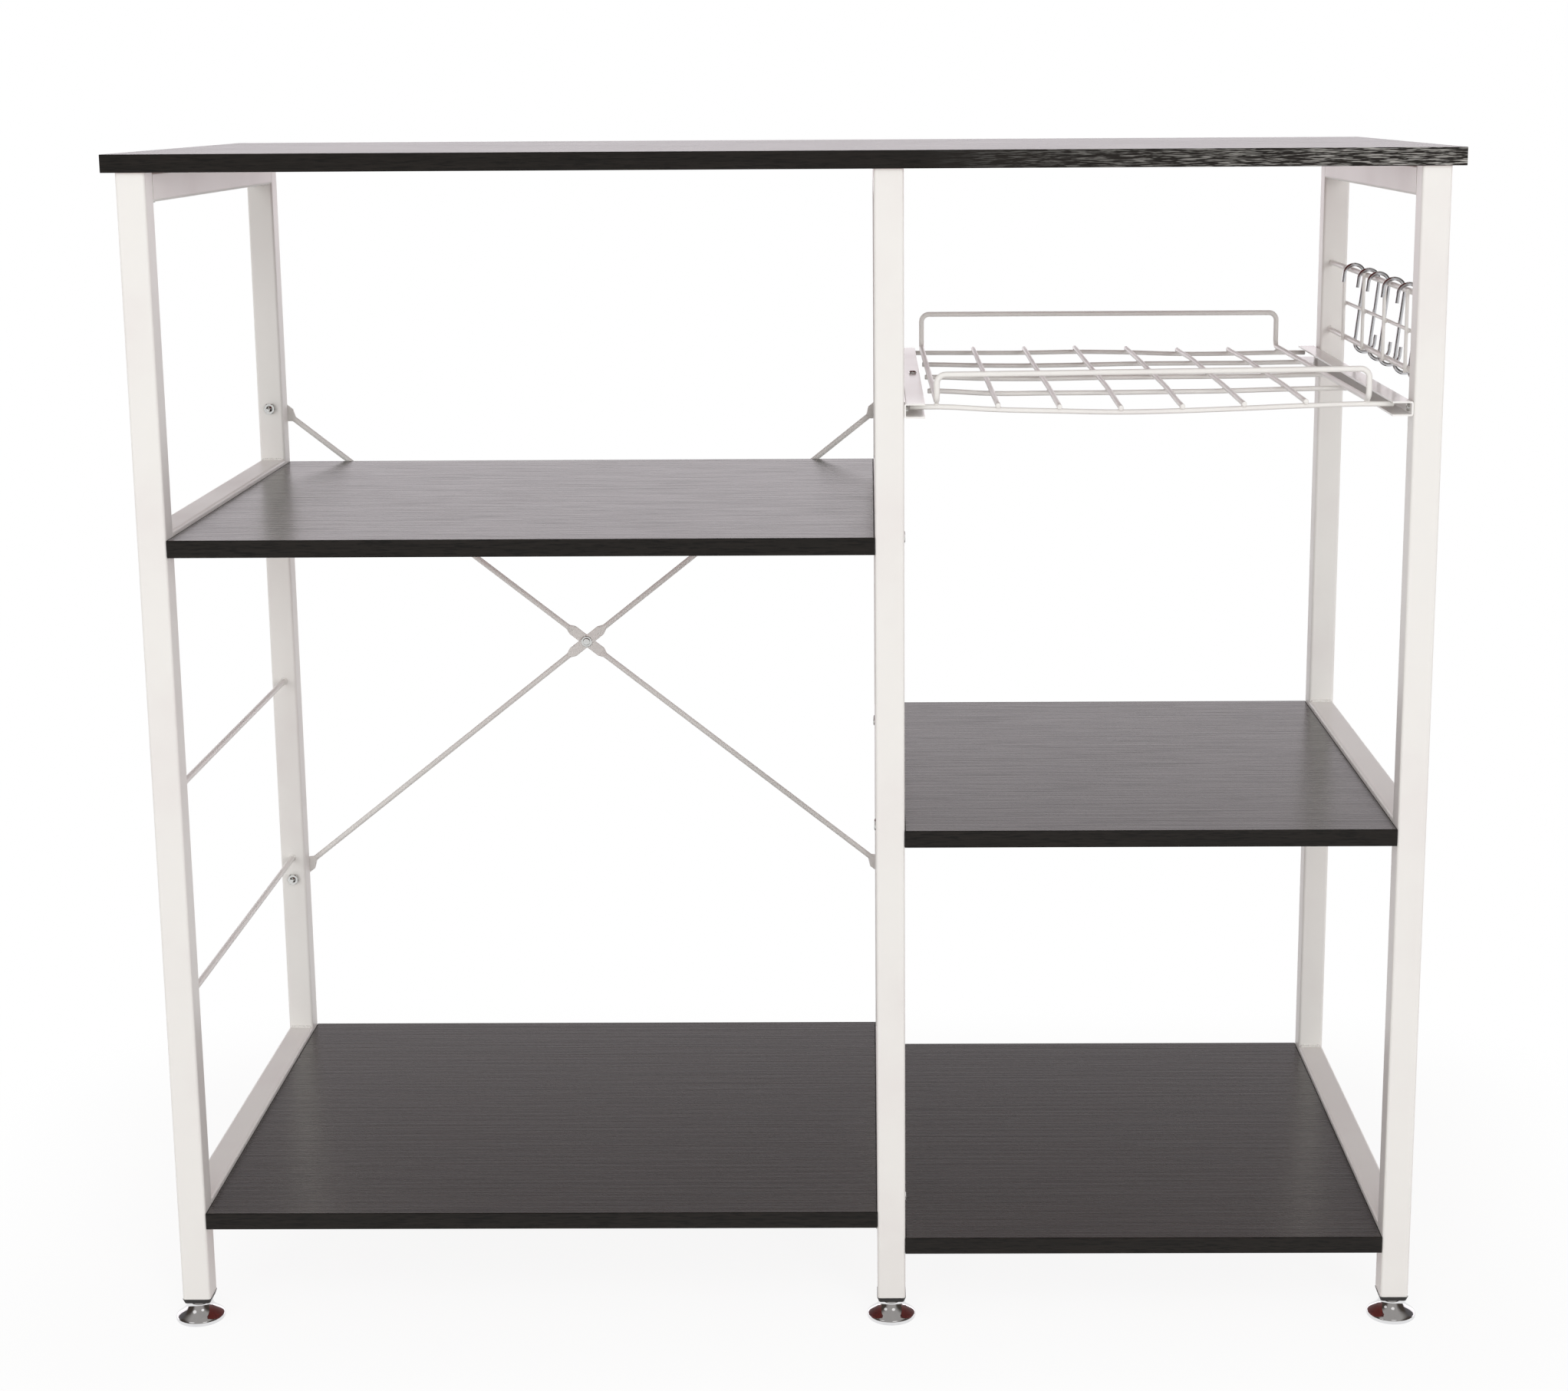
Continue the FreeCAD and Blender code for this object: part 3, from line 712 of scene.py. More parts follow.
class Shape:
    """A mesh in the making, in metres and in the part's frame."""

    def __init__(self) -> None:
        """Start with no points."""
        self.mesh = bmesh.new()

    def skin(self, rings: Sequence[Points], loop: bool = False) -> None:
        """Join rings of points into a closed skin.

        Args:
            rings: Rings with the same number of points each.
            loop: Join the last ring to the first instead of capping both.
        """
        rows = [[self.mesh.verts.new(point) for point in ring] for ring in rings]
        for near, far in zip(rows, rows[1:] + rows[:1] if loop else rows[1:]):
            self.strip(near, far)
        if not loop:
            self.mesh.faces.new(rows[0][::-1])
            self.mesh.faces.new(rows[-1])

    def strip(
        self, near: Sequence[bmesh.types.BMVert], far: Sequence[bmesh.types.BMVert]
    ) -> None:
        """Join two closed rings of vertices with faces.

        Args:
            near: One ring.
            far: The other, with as many vertices.
        """
        for k in range(len(near)):
            after = (k + 1) % len(near)
            self.mesh.faces.new((near[k], near[after], far[after], far[k]))

    def sweep(
        self, path: Points, radii: float | Sequence[float], sides: int = WIRE_SIDES,
        loop: bool = False
    ) -> None:
        """Carry a circle along a path.

        Args:
            path: Points of the middle line.
            radii: Radius, or the radius at each point.
            sides: Points around the circle.
            loop: Whether the path is closed.
        """
        count = len(path)
        sizes = [radii] * count if isinstance(radii, float) else radii
        tangents = []
        for k in range(count):
            ahead = path[(k + 1) % count] if loop or k < count - 1 else path[k]
            behind = path[k - 1] if loop or k > 0 else path[k]
            tangents.append((ahead - behind).normalized())
        normals = [tangents[0].orthogonal().normalized()]
        for k in range(1, count + int(loop)):
            bend = tangents[k - 1].rotation_difference(tangents[k % count])
            normals.append(bend @ normals[-1])
        twist = 0.0
        if loop:
            last = normals.pop()
            twist = last.angle(normals[0])
            if last.cross(normals[0]).dot(tangents[0]) < 0:
                twist = -twist
        rings = []
        for k in range(count):
            across = Matrix.Rotation(twist * k / count, 3, tangents[k]) @ normals[k]
            upward = tangents[k].cross(across)
            rings.append([
                path[k] + (across * math.cos(angle) + upward * math.sin(angle)) * sizes[k]
                for angle in circle_angles(sides)
            ])
        self.skin(rings, loop)

    def turn(
        self, profile: Sequence[tuple[float, float]], origin: Vector,
        direction: Vector = UP, sides: int = ROUND_SIDES
    ) -> None:
        """Turn a profile about an axis.

        Args:
            profile: Pairs of radius and height, from one end to the other.
            origin: Point on the axis at height zero.
            direction: Way in which the height grows.
            sides: Points around the axis.
        """
        tilt = UP.rotation_difference(direction)
        self.skin([
            [
                origin + tilt @ Vector(
                    (math.cos(angle) * radius, math.sin(angle) * radius, height))
                for angle in circle_angles(sides)
            ]
            for radius, height in profile
        ])

    def thread(
        self, origin: Vector, direction: Vector, length: float, kind: Thread
    ) -> None:
        """Threaded shank: ridges that climb round an axis.

        Args:
            origin: Start of the thread on the axis.
            direction: Way along the axis.
            length: Length of the thread.
            kind: Its sizes.
        """
        tilt = UP.rotation_difference(direction)
        count = max(2, round(length / kind.pitch * kind.steps))
        rings = []
        for height in spread(0, length, count + 1):
            left = (length - height) / kind.taper
            narrow = min(1.0, kind.tip_share + (1 - kind.tip_share) * left)
            ring = []
            for angle in circle_angles(WIRE_SIDES):
                phase = (height / kind.pitch - angle / (2 * math.pi)) % 1.0
                size = (kind.radius - kind.depth * abs(2 * phase - 1)) * narrow
                ring.append(origin + tilt @ Vector(
                    (math.cos(angle) * size, math.sin(angle) * size, height)))
            rings.append(ring)
        self.skin(rings)

    def cross_head(
        self, origin: Vector, direction: Vector, kind: ScrewKind, spin: float,
        grid: int = 20
    ) -> None:
        """Pan head of a screw with a cross recess, standing on its seat.

        Args:
            origin: Middle of the seat.
            direction: Way out of the seat.
            kind: Kind of screw with the sizes of its head.
            spin: How far the cross is turned, in radians.
            grid: Faces across the head.
        """
        tilt = UP.rotation_difference(direction).to_matrix()
        turned = tilt @ Matrix.Rotation(spin, 3, "Z")
        rows, seats = [], {}
        for a in spread(-1, 1, grid + 1):
            line = []
            for b in spread(-1, 1, grid + 1):
                x = a * math.sqrt(1 - b * b / 2) * kind.head_radius
                y = b * math.sqrt(1 - a * a / 2) * kind.head_radius
                point = Vector((x, y, kind.level(x, y)))
                vertex = self.mesh.verts.new(origin + turned @ point)
                seats[vertex] = origin + turned @ Vector((x, y, 0))
                line.append(vertex)
            rows.append(line)
        for near, far in zip(rows, rows[1:]):
            for k in range(grid):
                self.mesh.faces.new((near[k], far[k], far[k + 1], near[k + 1]))
        rim = [
            *rows[0][:-1], *(line[-1] for line in rows[:-1]),
            *rows[-1][:0:-1], *(line[0] for line in rows[:0:-1])]
        seat = [self.mesh.verts.new(seats[vertex]) for vertex in rim]
        self.strip(rim, seat)
        self.mesh.faces.new(seat)

    def swell(
        self, place: Vector, direction: Vector, nugget: float, wide: float = 1.35,
        high: float = 0.75, steps: int = 8, sides: int = 12
    ) -> None:
        """Flattened bead of a spot weld between two wires.

        Args:
            place: Middle of the seam between the wires.
            direction: Way from one wire to the other.
            nugget: Size of the weld.
            wide: Radius of the bead as a share of that size.
            high: Half its height as a share of it.
            steps: Steps from its one end to the other.
            sides: Points around it.
        """
        angles = [math.pi * step / steps for step in range(1, steps)]
        self.turn(
            [(wide * nugget * math.sin(angle), -high * nugget * math.cos(angle))
             for angle in angles], place, direction, sides)

    def slab(self, low: Vector, high: Vector, round_off: float) -> None:
        """Panel with rounded edges.

        Args:
            low: Lowest corner.
            high: Highest corner.
            round_off: Radius of the edges.
        """
        made = bmesh.ops.create_cube(self.mesh, size=1.0)["verts"]
        for vertex in made:
            for axis in range(3):
                end = high if vertex.co[axis] > 0 else low
                vertex.co[axis] = end[axis]
        edges = list({edge for vertex in made for edge in vertex.link_edges})
        bmesh.ops.bevel(
            self.mesh, geom=edges, offset=round_off, segments=2, affect="EDGES",
            profile=0.5)

    def piece(
        self, name: str, finish: Finish, body: Body = Body.RACK,
        nodes: Iterable[str] = ()
    ) -> Piece:
        """Turn the mesh into an object that rides on a body.

        Args:
            name: Name of the piece.
            finish: Its finish.
            body: Body that it moves with.
            nodes: Nodes of the part that it stands for.

        Returns:
            The new object.
        """
        bmesh.ops.recalc_face_normals(self.mesh, faces=self.mesh.faces)
        for face in self.mesh.faces:
            face.smooth = min(edge.calc_length() for edge in face.edges) < FLAT_WIDTH
        for edge in self.mesh.edges:
            edge.smooth = edge.calc_face_angle(math.pi) < SHARP_ANGLE
        data = bpy.data.meshes.new(name)
        self.mesh.to_mesh(data)
        self.mesh.free()
        data.materials.append(finish.material())
        item = placed(name, data)
        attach(item, body.value)
        if nodes:
            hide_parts(*nodes)
        return item


# Sub-assemblies


class Assembly:
    """A group of pieces that is built and dressed together."""

    def build(self) -> list[Piece]:
        """Build the pieces and dress them."""
        raise NotImplementedError

    @staticmethod
    def dress(nodes: Iterable[str], finish: Finish) -> list[Piece]:
        """Give nodes of the part a finish.

        Args:
            nodes: Names of the nodes.
            finish: Finish for all their material slots.

        Returns:
            The nodes' objects.
        """
        dressed = [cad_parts[name] for name in nodes]
        for item in dressed:
            for slot in item.material_slots:
                slot.material = finish.material()
        return dressed

    @staticmethod
    def middle(node: str) -> Vector:
        """Middle of a node's box."""
        low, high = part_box(node)
        return (low + high) / 2


@dataclass
class Boards(Assembly):
    """Top board and shelves: a foiled panel with a glued band round its edge.

    Faces whose normal points further down than the underside's limit take the backing.
    """

    top: str = "top_board"
    shelves: tuple[str, ...] = (
        "left_mid_shelf", "left_bottom_shelf", "right_mid_shelf", "right_bottom_shelf")
    band_thickness: float = 0.8 * MM
    band_round: float = 0.35 * MM
    panel_round: float = 0.12 * MM
    arc_share: float = 0.3
    underside: float = -0.9

    def build(self) -> list[Piece]:
        """Build each board's panel and band."""
        pieces = []
        for name in (self.top, *self.shelves):
            pieces += [self.panel(name), self.band(name)]
        return pieces

    def panel(self, name: str) -> Piece:
        """Foiled panel inside the band.

        Args:
            name: Node of the board.

        Returns:
            The panel.
        """
        low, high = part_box(name)
        inset = Vector((self.band_thickness, self.band_thickness, 0))
        shape = Shape()
        shape.slab(low + inset, high - inset, self.panel_round)
        panel = shape.piece(name + "_panel", BOARD_FOIL, nodes=[name])
        panel.data.materials.append(BACKING_FOIL.material())
        for face in panel.data.polygons:
            face.material_index = int(face.normal.z < self.underside)
        return panel

    def band(self, name: str) -> Piece:
        """Band round the panel, with its edges and corners rounded.

        Each corner has three rings: where its arc starts, the arc's middle and its end.

        Args:
            name: Node of the board.

        Returns:
            The band.
        """
        low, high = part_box(name)
        inner, soft = self.band_thickness, self.band_round
        arc = soft * self.arc_share
        section = [
            (inner, low.z), (soft, low.z), (arc, low.z + arc), (0, low.z + soft),
            (0, high.z - soft), (arc, high.z - arc), (soft, high.z), (inner, high.z)]
        turns = ((0, 1), (self.arc_share, self.arc_share), (1, 0))
        rings = []
        for x, y, inward_x, inward_y in (
            (low.x, low.y, 1, 1), (high.x, low.y, -1, 1),
            (high.x, high.y, -1, -1), (low.x, high.y, 1, -1),
        ):
            for share_x, share_y in turns[::inward_x * inward_y]:
                ring = []
                for depth, height in section:
                    spare = max(0.0, soft - depth)
                    ring.append(Vector((
                        x + inward_x * (depth + share_x * spare),
                        y + inward_y * (depth + share_y * spare), height)))
                rings.append(ring)
        shape = Shape()
        shape.skin(rings, loop=True)
        finish = TOP_BAND if name == self.top else BOARD_BAND
        return shape.piece(name + "_edge_band", finish)


@dataclass
class TubeFrames(Assembly):
    """Three welded frames of square tube with guard rods, and the beads of their welds.

    A bead across a rail is a row of ripples, each four rings long, that differ in size by
    chance and grow thin over the last rings at both ends.
    """

    bead_radius: float = 1.15 * MM
    bead_inset: float = 1.6 * MM
    bead_buried: float = 0.25
    bead_raised: float = 0.15
    lump_range: tuple[float, float] = (0.75, 1.25)
    ripple_pitch: float = 1.5 * MM
    ripple_rings: int = 4
    ripple_range: tuple[float, float] = (0.82, 1.10)
    thin_rings: int = 3
    thin_share: float = 0.45
    rod_bead_radius: float = 0.8 * MM
    rod_bead_range: tuple[float, float] = (0.8, 1.25)
    rod_bead_buried: float = 0.2
    rod_bead_steps: int = 16
    seed: int = 7

    def build(self) -> list[Piece]:
        """Paint the tubes and lay the weld beads."""
        painted = [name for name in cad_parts
                   if name.endswith(("_post", "_rail", "guard_rod"))]
        return self.dress(painted, TUBE_PAINT) + [self.beads(place) for place in Place]

    def beads(self, place: Place) -> Piece:
        """Weld beads of one frame, over and under each rail's ends and round its rods.

        Args:
            place: Which frame it is.

        Returns:
            All its beads as one piece.
        """
        shape = Shape()
        chance = random.Random(f"{self.seed}{place.value}")
        boxes = {
            node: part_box(node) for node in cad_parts
            if node.startswith(place.value + "_frame_") and node.endswith("_rail")}
        for node, (low, high) in boxes.items():
            open_faces = [
                (face, z) for face, z in ((Side.HIGH, high.z), (Side.LOW, low.z))
                if not self.covered(node, face, z, boxes.values())]
            for end, y in ((Side.LOW, low.y), (Side.HIGH, high.y)):
                for face, z in open_faces:
                    self.straight_bead(
                        shape, Vector((low.x, y, z)), high.x - low.x, end, face, chance)
        rods = {
            Place.LEFT: ("left_lower_guard_rod", "left_upper_guard_rod"),
            Place.RIGHT: ("grid_top_rod", "grid_lower_rod"),
        }.get(place, ())
        for node in rods:
            low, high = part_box(node)
            for end, y in ((Side.LOW, low.y), (Side.HIGH, high.y)):
                middle = Vector(((low.x + high.x) / 2, y, (low.z + high.z) / 2))
                self.ring_bead(shape, middle, (high.x - low.x) / 2, end, chance)
        return shape.piece(place.value + "_frame_welds", TUBE_PAINT)

    @staticmethod
    def covered(node: str, face: Side, z: float, boxes: Iterable[Line]) -> bool:
        """Whether the top board or another rail lies on a rail's face.

        Args:
            node: Node of the rail.
            face: Its upper or its lower face.
            z: Height of that face.
            boxes: Boxes of all the rails of its frame.

        Returns:
            True where no bead fits.
        """
        if face is Side.HIGH and "top_rail" in node:
            return True
        return any(
            abs((low if face is Side.HIGH else high).z - z) < MM for low, high in boxes)

    def straight_bead(
        self, shape: Shape, corner: Vector, width: float, end: Side, face: Side,
        chance: random.Random
    ) -> None:
        """Bead across a rail, in the corner between the rail and the post.

        Args:
            shape: Shape that takes the bead.
            corner: Left end of that corner.
            width: Width of the rail.
            end: Which end of the rail it is.
            face: Whether the bead lies over or under the rail.
            chance: Source of the ripples' irregularity.
        """
        length = width - 2 * self.bead_inset
        count = round(length / self.ripple_pitch) * self.ripple_rings
        lumps = [chance.uniform(*self.lump_range)
                 for _ in range(count // self.ripple_rings + 2)]
        trough, crest = self.ripple_range
        start = corner + self.bead_radius * (
            face.value * self.bead_raised * UP - end.value * self.bead_buried * BACK)
        sizes, path = [], []
        for k in range(count + 1):
            swell = 0.5 - 0.5 * math.cos(2 * math.pi * k / self.ripple_rings)
            inner = min(k, count - k) / self.thin_rings
            sizes.append(
                self.bead_radius * lumps[k // self.ripple_rings]
                * (trough + (crest - trough) * swell)
                * min(1.0, self.thin_share + (1 - self.thin_share) * inner))
            path.append(start + RIGHT * (self.bead_inset + length * k / count))
        shape.sweep(path, sizes, sides=10)

    def ring_bead(
        self, shape: Shape, middle: Vector, rod_radius: float, end: Side,
        chance: random.Random
    ) -> None:
        """Bead round the end of a rod on a post's face.

        Args:
            shape: Shape that takes the bead.
            middle: Middle of the rod's end.
            rod_radius: Radius of the rod.
            end: Which end of the rod it is.
            chance: Source of the bead's irregularity.
        """
        sizes = [self.rod_bead_radius * chance.uniform(*self.rod_bead_range)
                 for _ in range(self.rod_bead_steps)]
        start = middle - BACK * end.value * self.rod_bead_buried * self.rod_bead_radius
        path = [
            start + (RIGHT * math.cos(angle) + UP * math.sin(angle)) * rod_radius
            for angle in circle_angles(self.rod_bead_steps)
        ]
        shape.sweep(path, sizes, sides=8, loop=True)


@dataclass
class ScrewFeet(Assembly):
    """Six chrome bells on threaded studs, and the plastic plugs that take the studs.

    The bell's profile goes from the inside of its rim over the crown to the neck, in pairs
    of radius and height in millimetres.
    """

    bell: tuple[tuple[float, float], ...] = (
        (14.6, 0.9), (15.6, 0.5), (16.3, 0.0), (16.9, 0.1), (17.35, 0.6), (17.5, 1.4),
        (17.5, 2.5), (17.3, 3.2), (16.75, 3.8), (15.7, 4.6), (14.1, 5.75), (12.5, 7.0),
        (11.1, 8.4), (10.05, 9.9), (9.35, 11.4), (8.95, 12.9), (8.8, 14.0), (8.6, 14.45),
        (8.1, 14.65), (3.9, 14.7))
    bell_sides: int = 48
    stud: Thread = Thread(4.0 * MM, 0.55 * MM, 1.25 * MM, 1.2 * MM, steps=6)
    stud_start: float = 14.5 * MM

    def build(self) -> list[Piece]:
        """Build the feet and dress the plugs."""
        plugs = self.dress(["post_plugs"], BLACK_PLASTIC)
        return plugs + [self.foot(place, end) for place in Place for end in End]

    def foot(self, place: Place, end: End) -> Piece:
        """Bell and stud of one foot.

        Args:
            place: Frame that it stands under.
            end: End of that frame.

        Returns:
            The foot.
        """
        post = f"{place.value}_{end.value}"
        low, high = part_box(post + "_foot")
        origin = Vector(((low.x + high.x) / 2, (low.y + high.y) / 2, low.z))
        shape = Shape()
        shape.turn(
            [(radius * MM, height * MM) for radius, height in self.bell], origin,
            sides=self.bell_sides)
        start = origin + UP * self.stud_start
        shape.thread(start, UP, high.z - start.z, self.stud)
        return shape.piece(
            post + "_bell_foot", CHROME, Body(post + "_screw_foot"),
            [post + "_foot"])


@dataclass
class Fasteners(Assembly):
    """Screws of the boards and channels, bolts, nuts and the rivet of the crossed rods."""

    shelf_screw: ScrewKind = ScrewKind(
        4.3 * MM, 1.4 * MM, Thread(2.5 * MM, 0.4 * MM, 1.8 * MM, 5 * MM))
    channel_screw: ScrewKind = ScrewKind(
        2.8 * MM, 1.8 * MM, Thread(1.75 * MM, 0.28 * MM, 1.8 * MM, 5 * MM))
    flange_screw: ScrewKind = ScrewKind(
        2.8 * MM, 1.8 * MM, Thread(1.75 * MM, 0.28 * MM, 0.8 * MM, 0.9 * MM))
    bolt: ScrewKind = ScrewKind(
        4.4 * MM, 2.6 * MM, Thread(2.5 * MM, 0.4 * MM, 0.8 * MM, 0.9 * MM))
    tube: float = 20 * MM
    shelf_bite: float = 28 * MM
    shelf_inset: float = 40 * MM
    top_bite: float = 9 * MM
    top_inset: float = 46 * MM
    channel_length: float = 9 * MM
    channel_sheet: float = 1.2 * MM
    flange_place: float = 9 * MM
    flange_length: float = 3 * MM
    bolt_length: float = 27.3 * MM
    flat_thickness: float = 1.8 * MM
    half_nut: float = 4 * MM
    seed: int = 11

    def build(self) -> list[Piece]:
        """Build all the fasteners."""
        pieces = self.dress(["brace_nuts", "brace_rivet"], ZINC)
        chance = random.Random(self.seed)
        for name, node, kind, length, lines in (
            ("left_shelf_cross_screws", "left_shelf_screws", self.shelf_screw,
             self.tube + self.shelf_bite, self.shelf_lines(Place.LEFT)),
            ("right_shelf_cross_screws", "right_shelf_screws", self.shelf_screw,
             self.tube + self.shelf_bite, self.shelf_lines(Place.RIGHT)),
            ("top_board_cross_screws", "top_board_screws", self.shelf_screw,
             self.tube + self.top_bite, self.top_lines()),
            ("channel_cross_screws", "runner_screws", self.channel_screw,
             self.channel_length, self.channel_lines()),
            ("brace_cross_bolts", "brace_bolts", self.bolt, self.bolt_length,
             self.bolt_lines()),
        ):
            shape = Shape()
            for seat, way in lines:
                self.screw(shape, seat, way, kind, length, chance.uniform(0, math.pi))
            pieces.append(shape.piece(name, ZINC, nodes=[node]))
        return [*pieces, self.screw_on_flange()]

    def screw_on_flange(self) -> Piece:
        """Short screw that stands on the left channel's upper flange, half-way along it."""
        low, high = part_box("left_runner")
        seat = Vector((low.x + self.flange_place, (low.y + high.y) / 2, high.z))
        shape = Shape()
        self.screw(shape, seat, -UP, self.flange_screw, self.flange_length, 0.0)
        return shape.piece("channel_flange_screw", ZINC)

    @staticmethod
    def screw(
        shape: Shape, seat: Vector, way: Vector, kind: ScrewKind, length: float, spin: float
    ) -> None:
        """One screw or bolt, with its head on a seat.

        Args:
            shape: Shape that takes it.
            seat: Middle of the seat under the head.
            way: Way that the shank goes.
            kind: Kind of screw.
            length: Length of the shank.
            spin: How far the cross is turned.
        """
        shape.cross_head(seat, -way, kind, spin)
        shape.thread(seat, way, length, kind.thread)

    def shelf_lines(self, side: Place) -> list[Line]:
        """Seat and way of each screw into the shelves of one side.

        Args:
            side: Left or right.

        Returns:
            Pairs of a seat and a way.
        """
        lines = []
        for shelf in (f"{side.value}_mid", f"{side.value}_bottom"):
            board = self.middle(shelf + "_shelf")
            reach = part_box(shelf + "_shelf")[1].y - self.shelf_inset
            for place in (side, Place.MIDDLE):
                low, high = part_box(f"{place.value}_frame_{shelf}_rail")
                to_right = board.x > (low.x + high.x) / 2
                x, way = (low.x, RIGHT) if to_right else (high.x, -RIGHT)
                lines += [(Vector((x, y, board.z)), way) for y in (-reach, reach)]
        return lines

    def top_lines(self) -> list[Line]:
        """Seat and way of each screw up into the top board."""
        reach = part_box("left_mid_shelf")[1].y - self.top_inset
        lines = []
        for place in Place:
            low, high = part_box(place.value + "_frame_top_rail")
            x = (low.x + high.x) / 2
            lines += [(Vector((x, y, low.z)), UP) for y in (-reach, reach)]
        return lines

    def channel_lines(self) -> list[Line]:
        """Seat and way of each screw through a channel into a post."""
        lines = []
        for node, way in (("left_runner", -RIGHT), ("right_runner", RIGHT)):
            low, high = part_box(node)
            wall = (low.x if way.x < 0 else high.x) - way.x * self.channel_sheet
            for end in End:
                y = self.middle(f"left_{end.value}_post").y
                lines.append((Vector((wall, y, (low.z + high.z) / 2)), way))
        return lines

    def bolt_lines(self) -> list[Line]:
        """Seat and way of each bolt through the crossed rods and a back post."""
        low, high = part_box("brace_nuts")
        lines = []
        for place in (Place.LEFT, Place.MIDDLE):
            post_low, post_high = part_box(place.value + "_back_post")
            x = (post_low.x + post_high.x) / 2
            y = post_high.y + self.flat_thickness
            for z in (low.z + self.half_nut, high.z - self.half_nut):
                lines.append((Vector((x, y, z)), -BACK))
        return lines


@dataclass
class Brace(Assembly):
    """Crossed rods behind the left bay."""

    rods: tuple[str, ...] = ("brace_rising_rod", "brace_falling_rod")

    def build(self) -> list[Piece]:
        """Paint the rods."""
        return self.dress(self.rods, WIRE_PAINT)


@dataclass
class Channels(Assembly):
    """Folded channels that the basket slides in."""

    channels: tuple[str, ...] = ("left_runner", "right_runner")

    def build(self) -> list[Piece]:
        """Paint the channels."""
        return self.dress(self.channels, CHANNEL_PAINT)


@dataclass
class Basket(Assembly):
    """Wire basket: rim loop, cross wires and long wires, a little bent by use.

    The basket sits close under the channels' upper flanges.  The drops say how far each
    cross wire hangs below a straight line where a long wire crosses it, from left to right;
    the rows go from the front to the back.  The skews say how far the rim and the long
    wires have moved to the right at the back, and the sags how far the front guard's left
    and right corner lie lower than the back guard's, all in millimetres.
    """

    rim_radius: float = 2.0 * MM
    wire_radius: float = 1.75 * MM
    bend: float = 6 * MM
    sink: float = 0.35 * MM
    cut_edge: float = 0.45 * MM
    cut_share: float = 0.35
    long_wires: int = 6
    long_reach: float = 190.5 * MM
    short_overhang: float = 4 * MM
    steps: int = 5
    nugget: float = 1.5 * MM
    lift: float = 3.6 * MM
    drops: tuple[tuple[float, ...], ...] = (
        (0.5, 2.6, 3.7, 4.6, 3.9, 2.5, 0.9, -0.1),
        (0, 2.0, 1.9, 1.8, 1.4, 1.0, 0.0, -0.6),
        (0, 1.3, 1.6, 1.0, 0.8, 0.6, 0.3, -0.5),
        (0, 0.9, 1.2, 0.7, 0.1, 0.0, 0.0, -0.5),
        (-0.1, 0.1, 0.1, -0.4, 0.3, 1.7, 1.6, 1.0),
    )
    skews: tuple[float, ...] = (-2.6, -2.1, -2.2, -2.5, -2.3, -2.3, -2.3, -4.8)
    sags: tuple[float, float] = (9.0, 6.3)

    def build(self) -> list[Piece]:
        """Build the rim, the wires and their welds."""
        return [self.rim(), self.cross_wires(), self.along_wires(), self.welds()]

    @cached_property
    def rim_box(self) -> Line:
        """Lowest and highest corner of the rim's middle line in the part."""
        low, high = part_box("basket_rim")
        radius = Vector((1, 1, 1)) * self.rim_radius
        return low + radius, high - radius

    @cached_property
    def cross_box(self) -> Line:
        """Lowest and highest corner of the cross wires in the part."""
        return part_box("basket_cross_wires")

    @cached_property
    def cross_z(self) -> float:
        """Height of the cross wires' middle lines where they don't hang."""
        return self.cross_box[0].z + self.wire_radius + self.lift

    @cached_property
    def columns(self) -> list[float]:
        """Places along X of the rim's sides and of the long wires between them."""
        low, high = self.rim_box
        return spread(low.x, high.x, self.long_wires + 2)

    @cached_property
    def rows(self) -> list[float]:
        """Places along Y of the cross wires."""
        low, high = self.cross_box
        return spread(low.y + self.wire_radius, high.y - self.wire_radius, len(self.drops))

    def drop(self, row: int, x: float) -> float:
        """How far a cross wire hangs below its straight line.

        Args:
            row: Number of the cross wire from the front.
            x: Place along it.

        Returns:
            The drop in metres.
        """
        return through(self.columns, self.drops[row], x) * MM

    def askew(self, x: float, y: float) -> float:
        """Where a wire that starts at a place in front runs further back.

        Args:
            x: Its place in front.
            y: How far back.

        Returns:
            Its place there.
        """
        share = (y - self.rows[0]) / (self.rows[-1] - self.rows[0])
        return x + through(self.columns, self.skews, x) * MM * share

    def wires(self, name: str, node: str, shape: Shape) -> Piece:
        """Make a piece of wire that moves with the basket.

        Args:
            name: Name of the piece.
            node: Node of the part that it stands for.
            shape: Its mesh.

        Returns:
            The piece.
        """
        return shape.piece(name, WIRE_PAINT, Body.BASKET, [node])

    def rim(self) -> Piece:
        """Rim wire: one loop that rises into a guard at each end."""
        low, high = self.rim_box
        left_sag, right_sag = (sag * MM for sag in self.sags)
        corners = [
            Vector((self.askew(x, y), y, z + self.lift))
            for x, y, z in (
                (low.x, low.y, low.z), (low.x, low.y, high.z - left_sag),
                (high.x, low.y, high.z - right_sag), (high.x, low.y, low.z),
                (high.x, high.y, low.z), (high.x, high.y, high.z),
                (low.x, high.y, high.z), (low.x, high.y, low.z))
        ]
        shape = Shape()
        shape.sweep(filleted(corners, self.bend), self.rim_radius, loop=True)
        return self.wires("basket_rim_loop", "basket_rim", shape)

    def cross_wires(self) -> Piece:
        """Cross wires, of which the first and the last ride in the channels."""
        shape = Shape()
        low, high = self.cross_box
        reach = self.short_overhang
        for row, y in enumerate(self.rows):
            at_end = row in (0, len(self.rows) - 1)
            start = low.x if at_end else self.columns[0] - reach
            end = high.x if at_end else self.columns[-1] + reach
            self.cut_wire(shape, [
                Vector((x, y, self.cross_z - self.drop(row, x)))
                for x in spread(start, end, self.long_wires * self.steps + 3)
            ])
        return self.wires("basket_bent_cross_wires", "basket_cross_wires", shape)

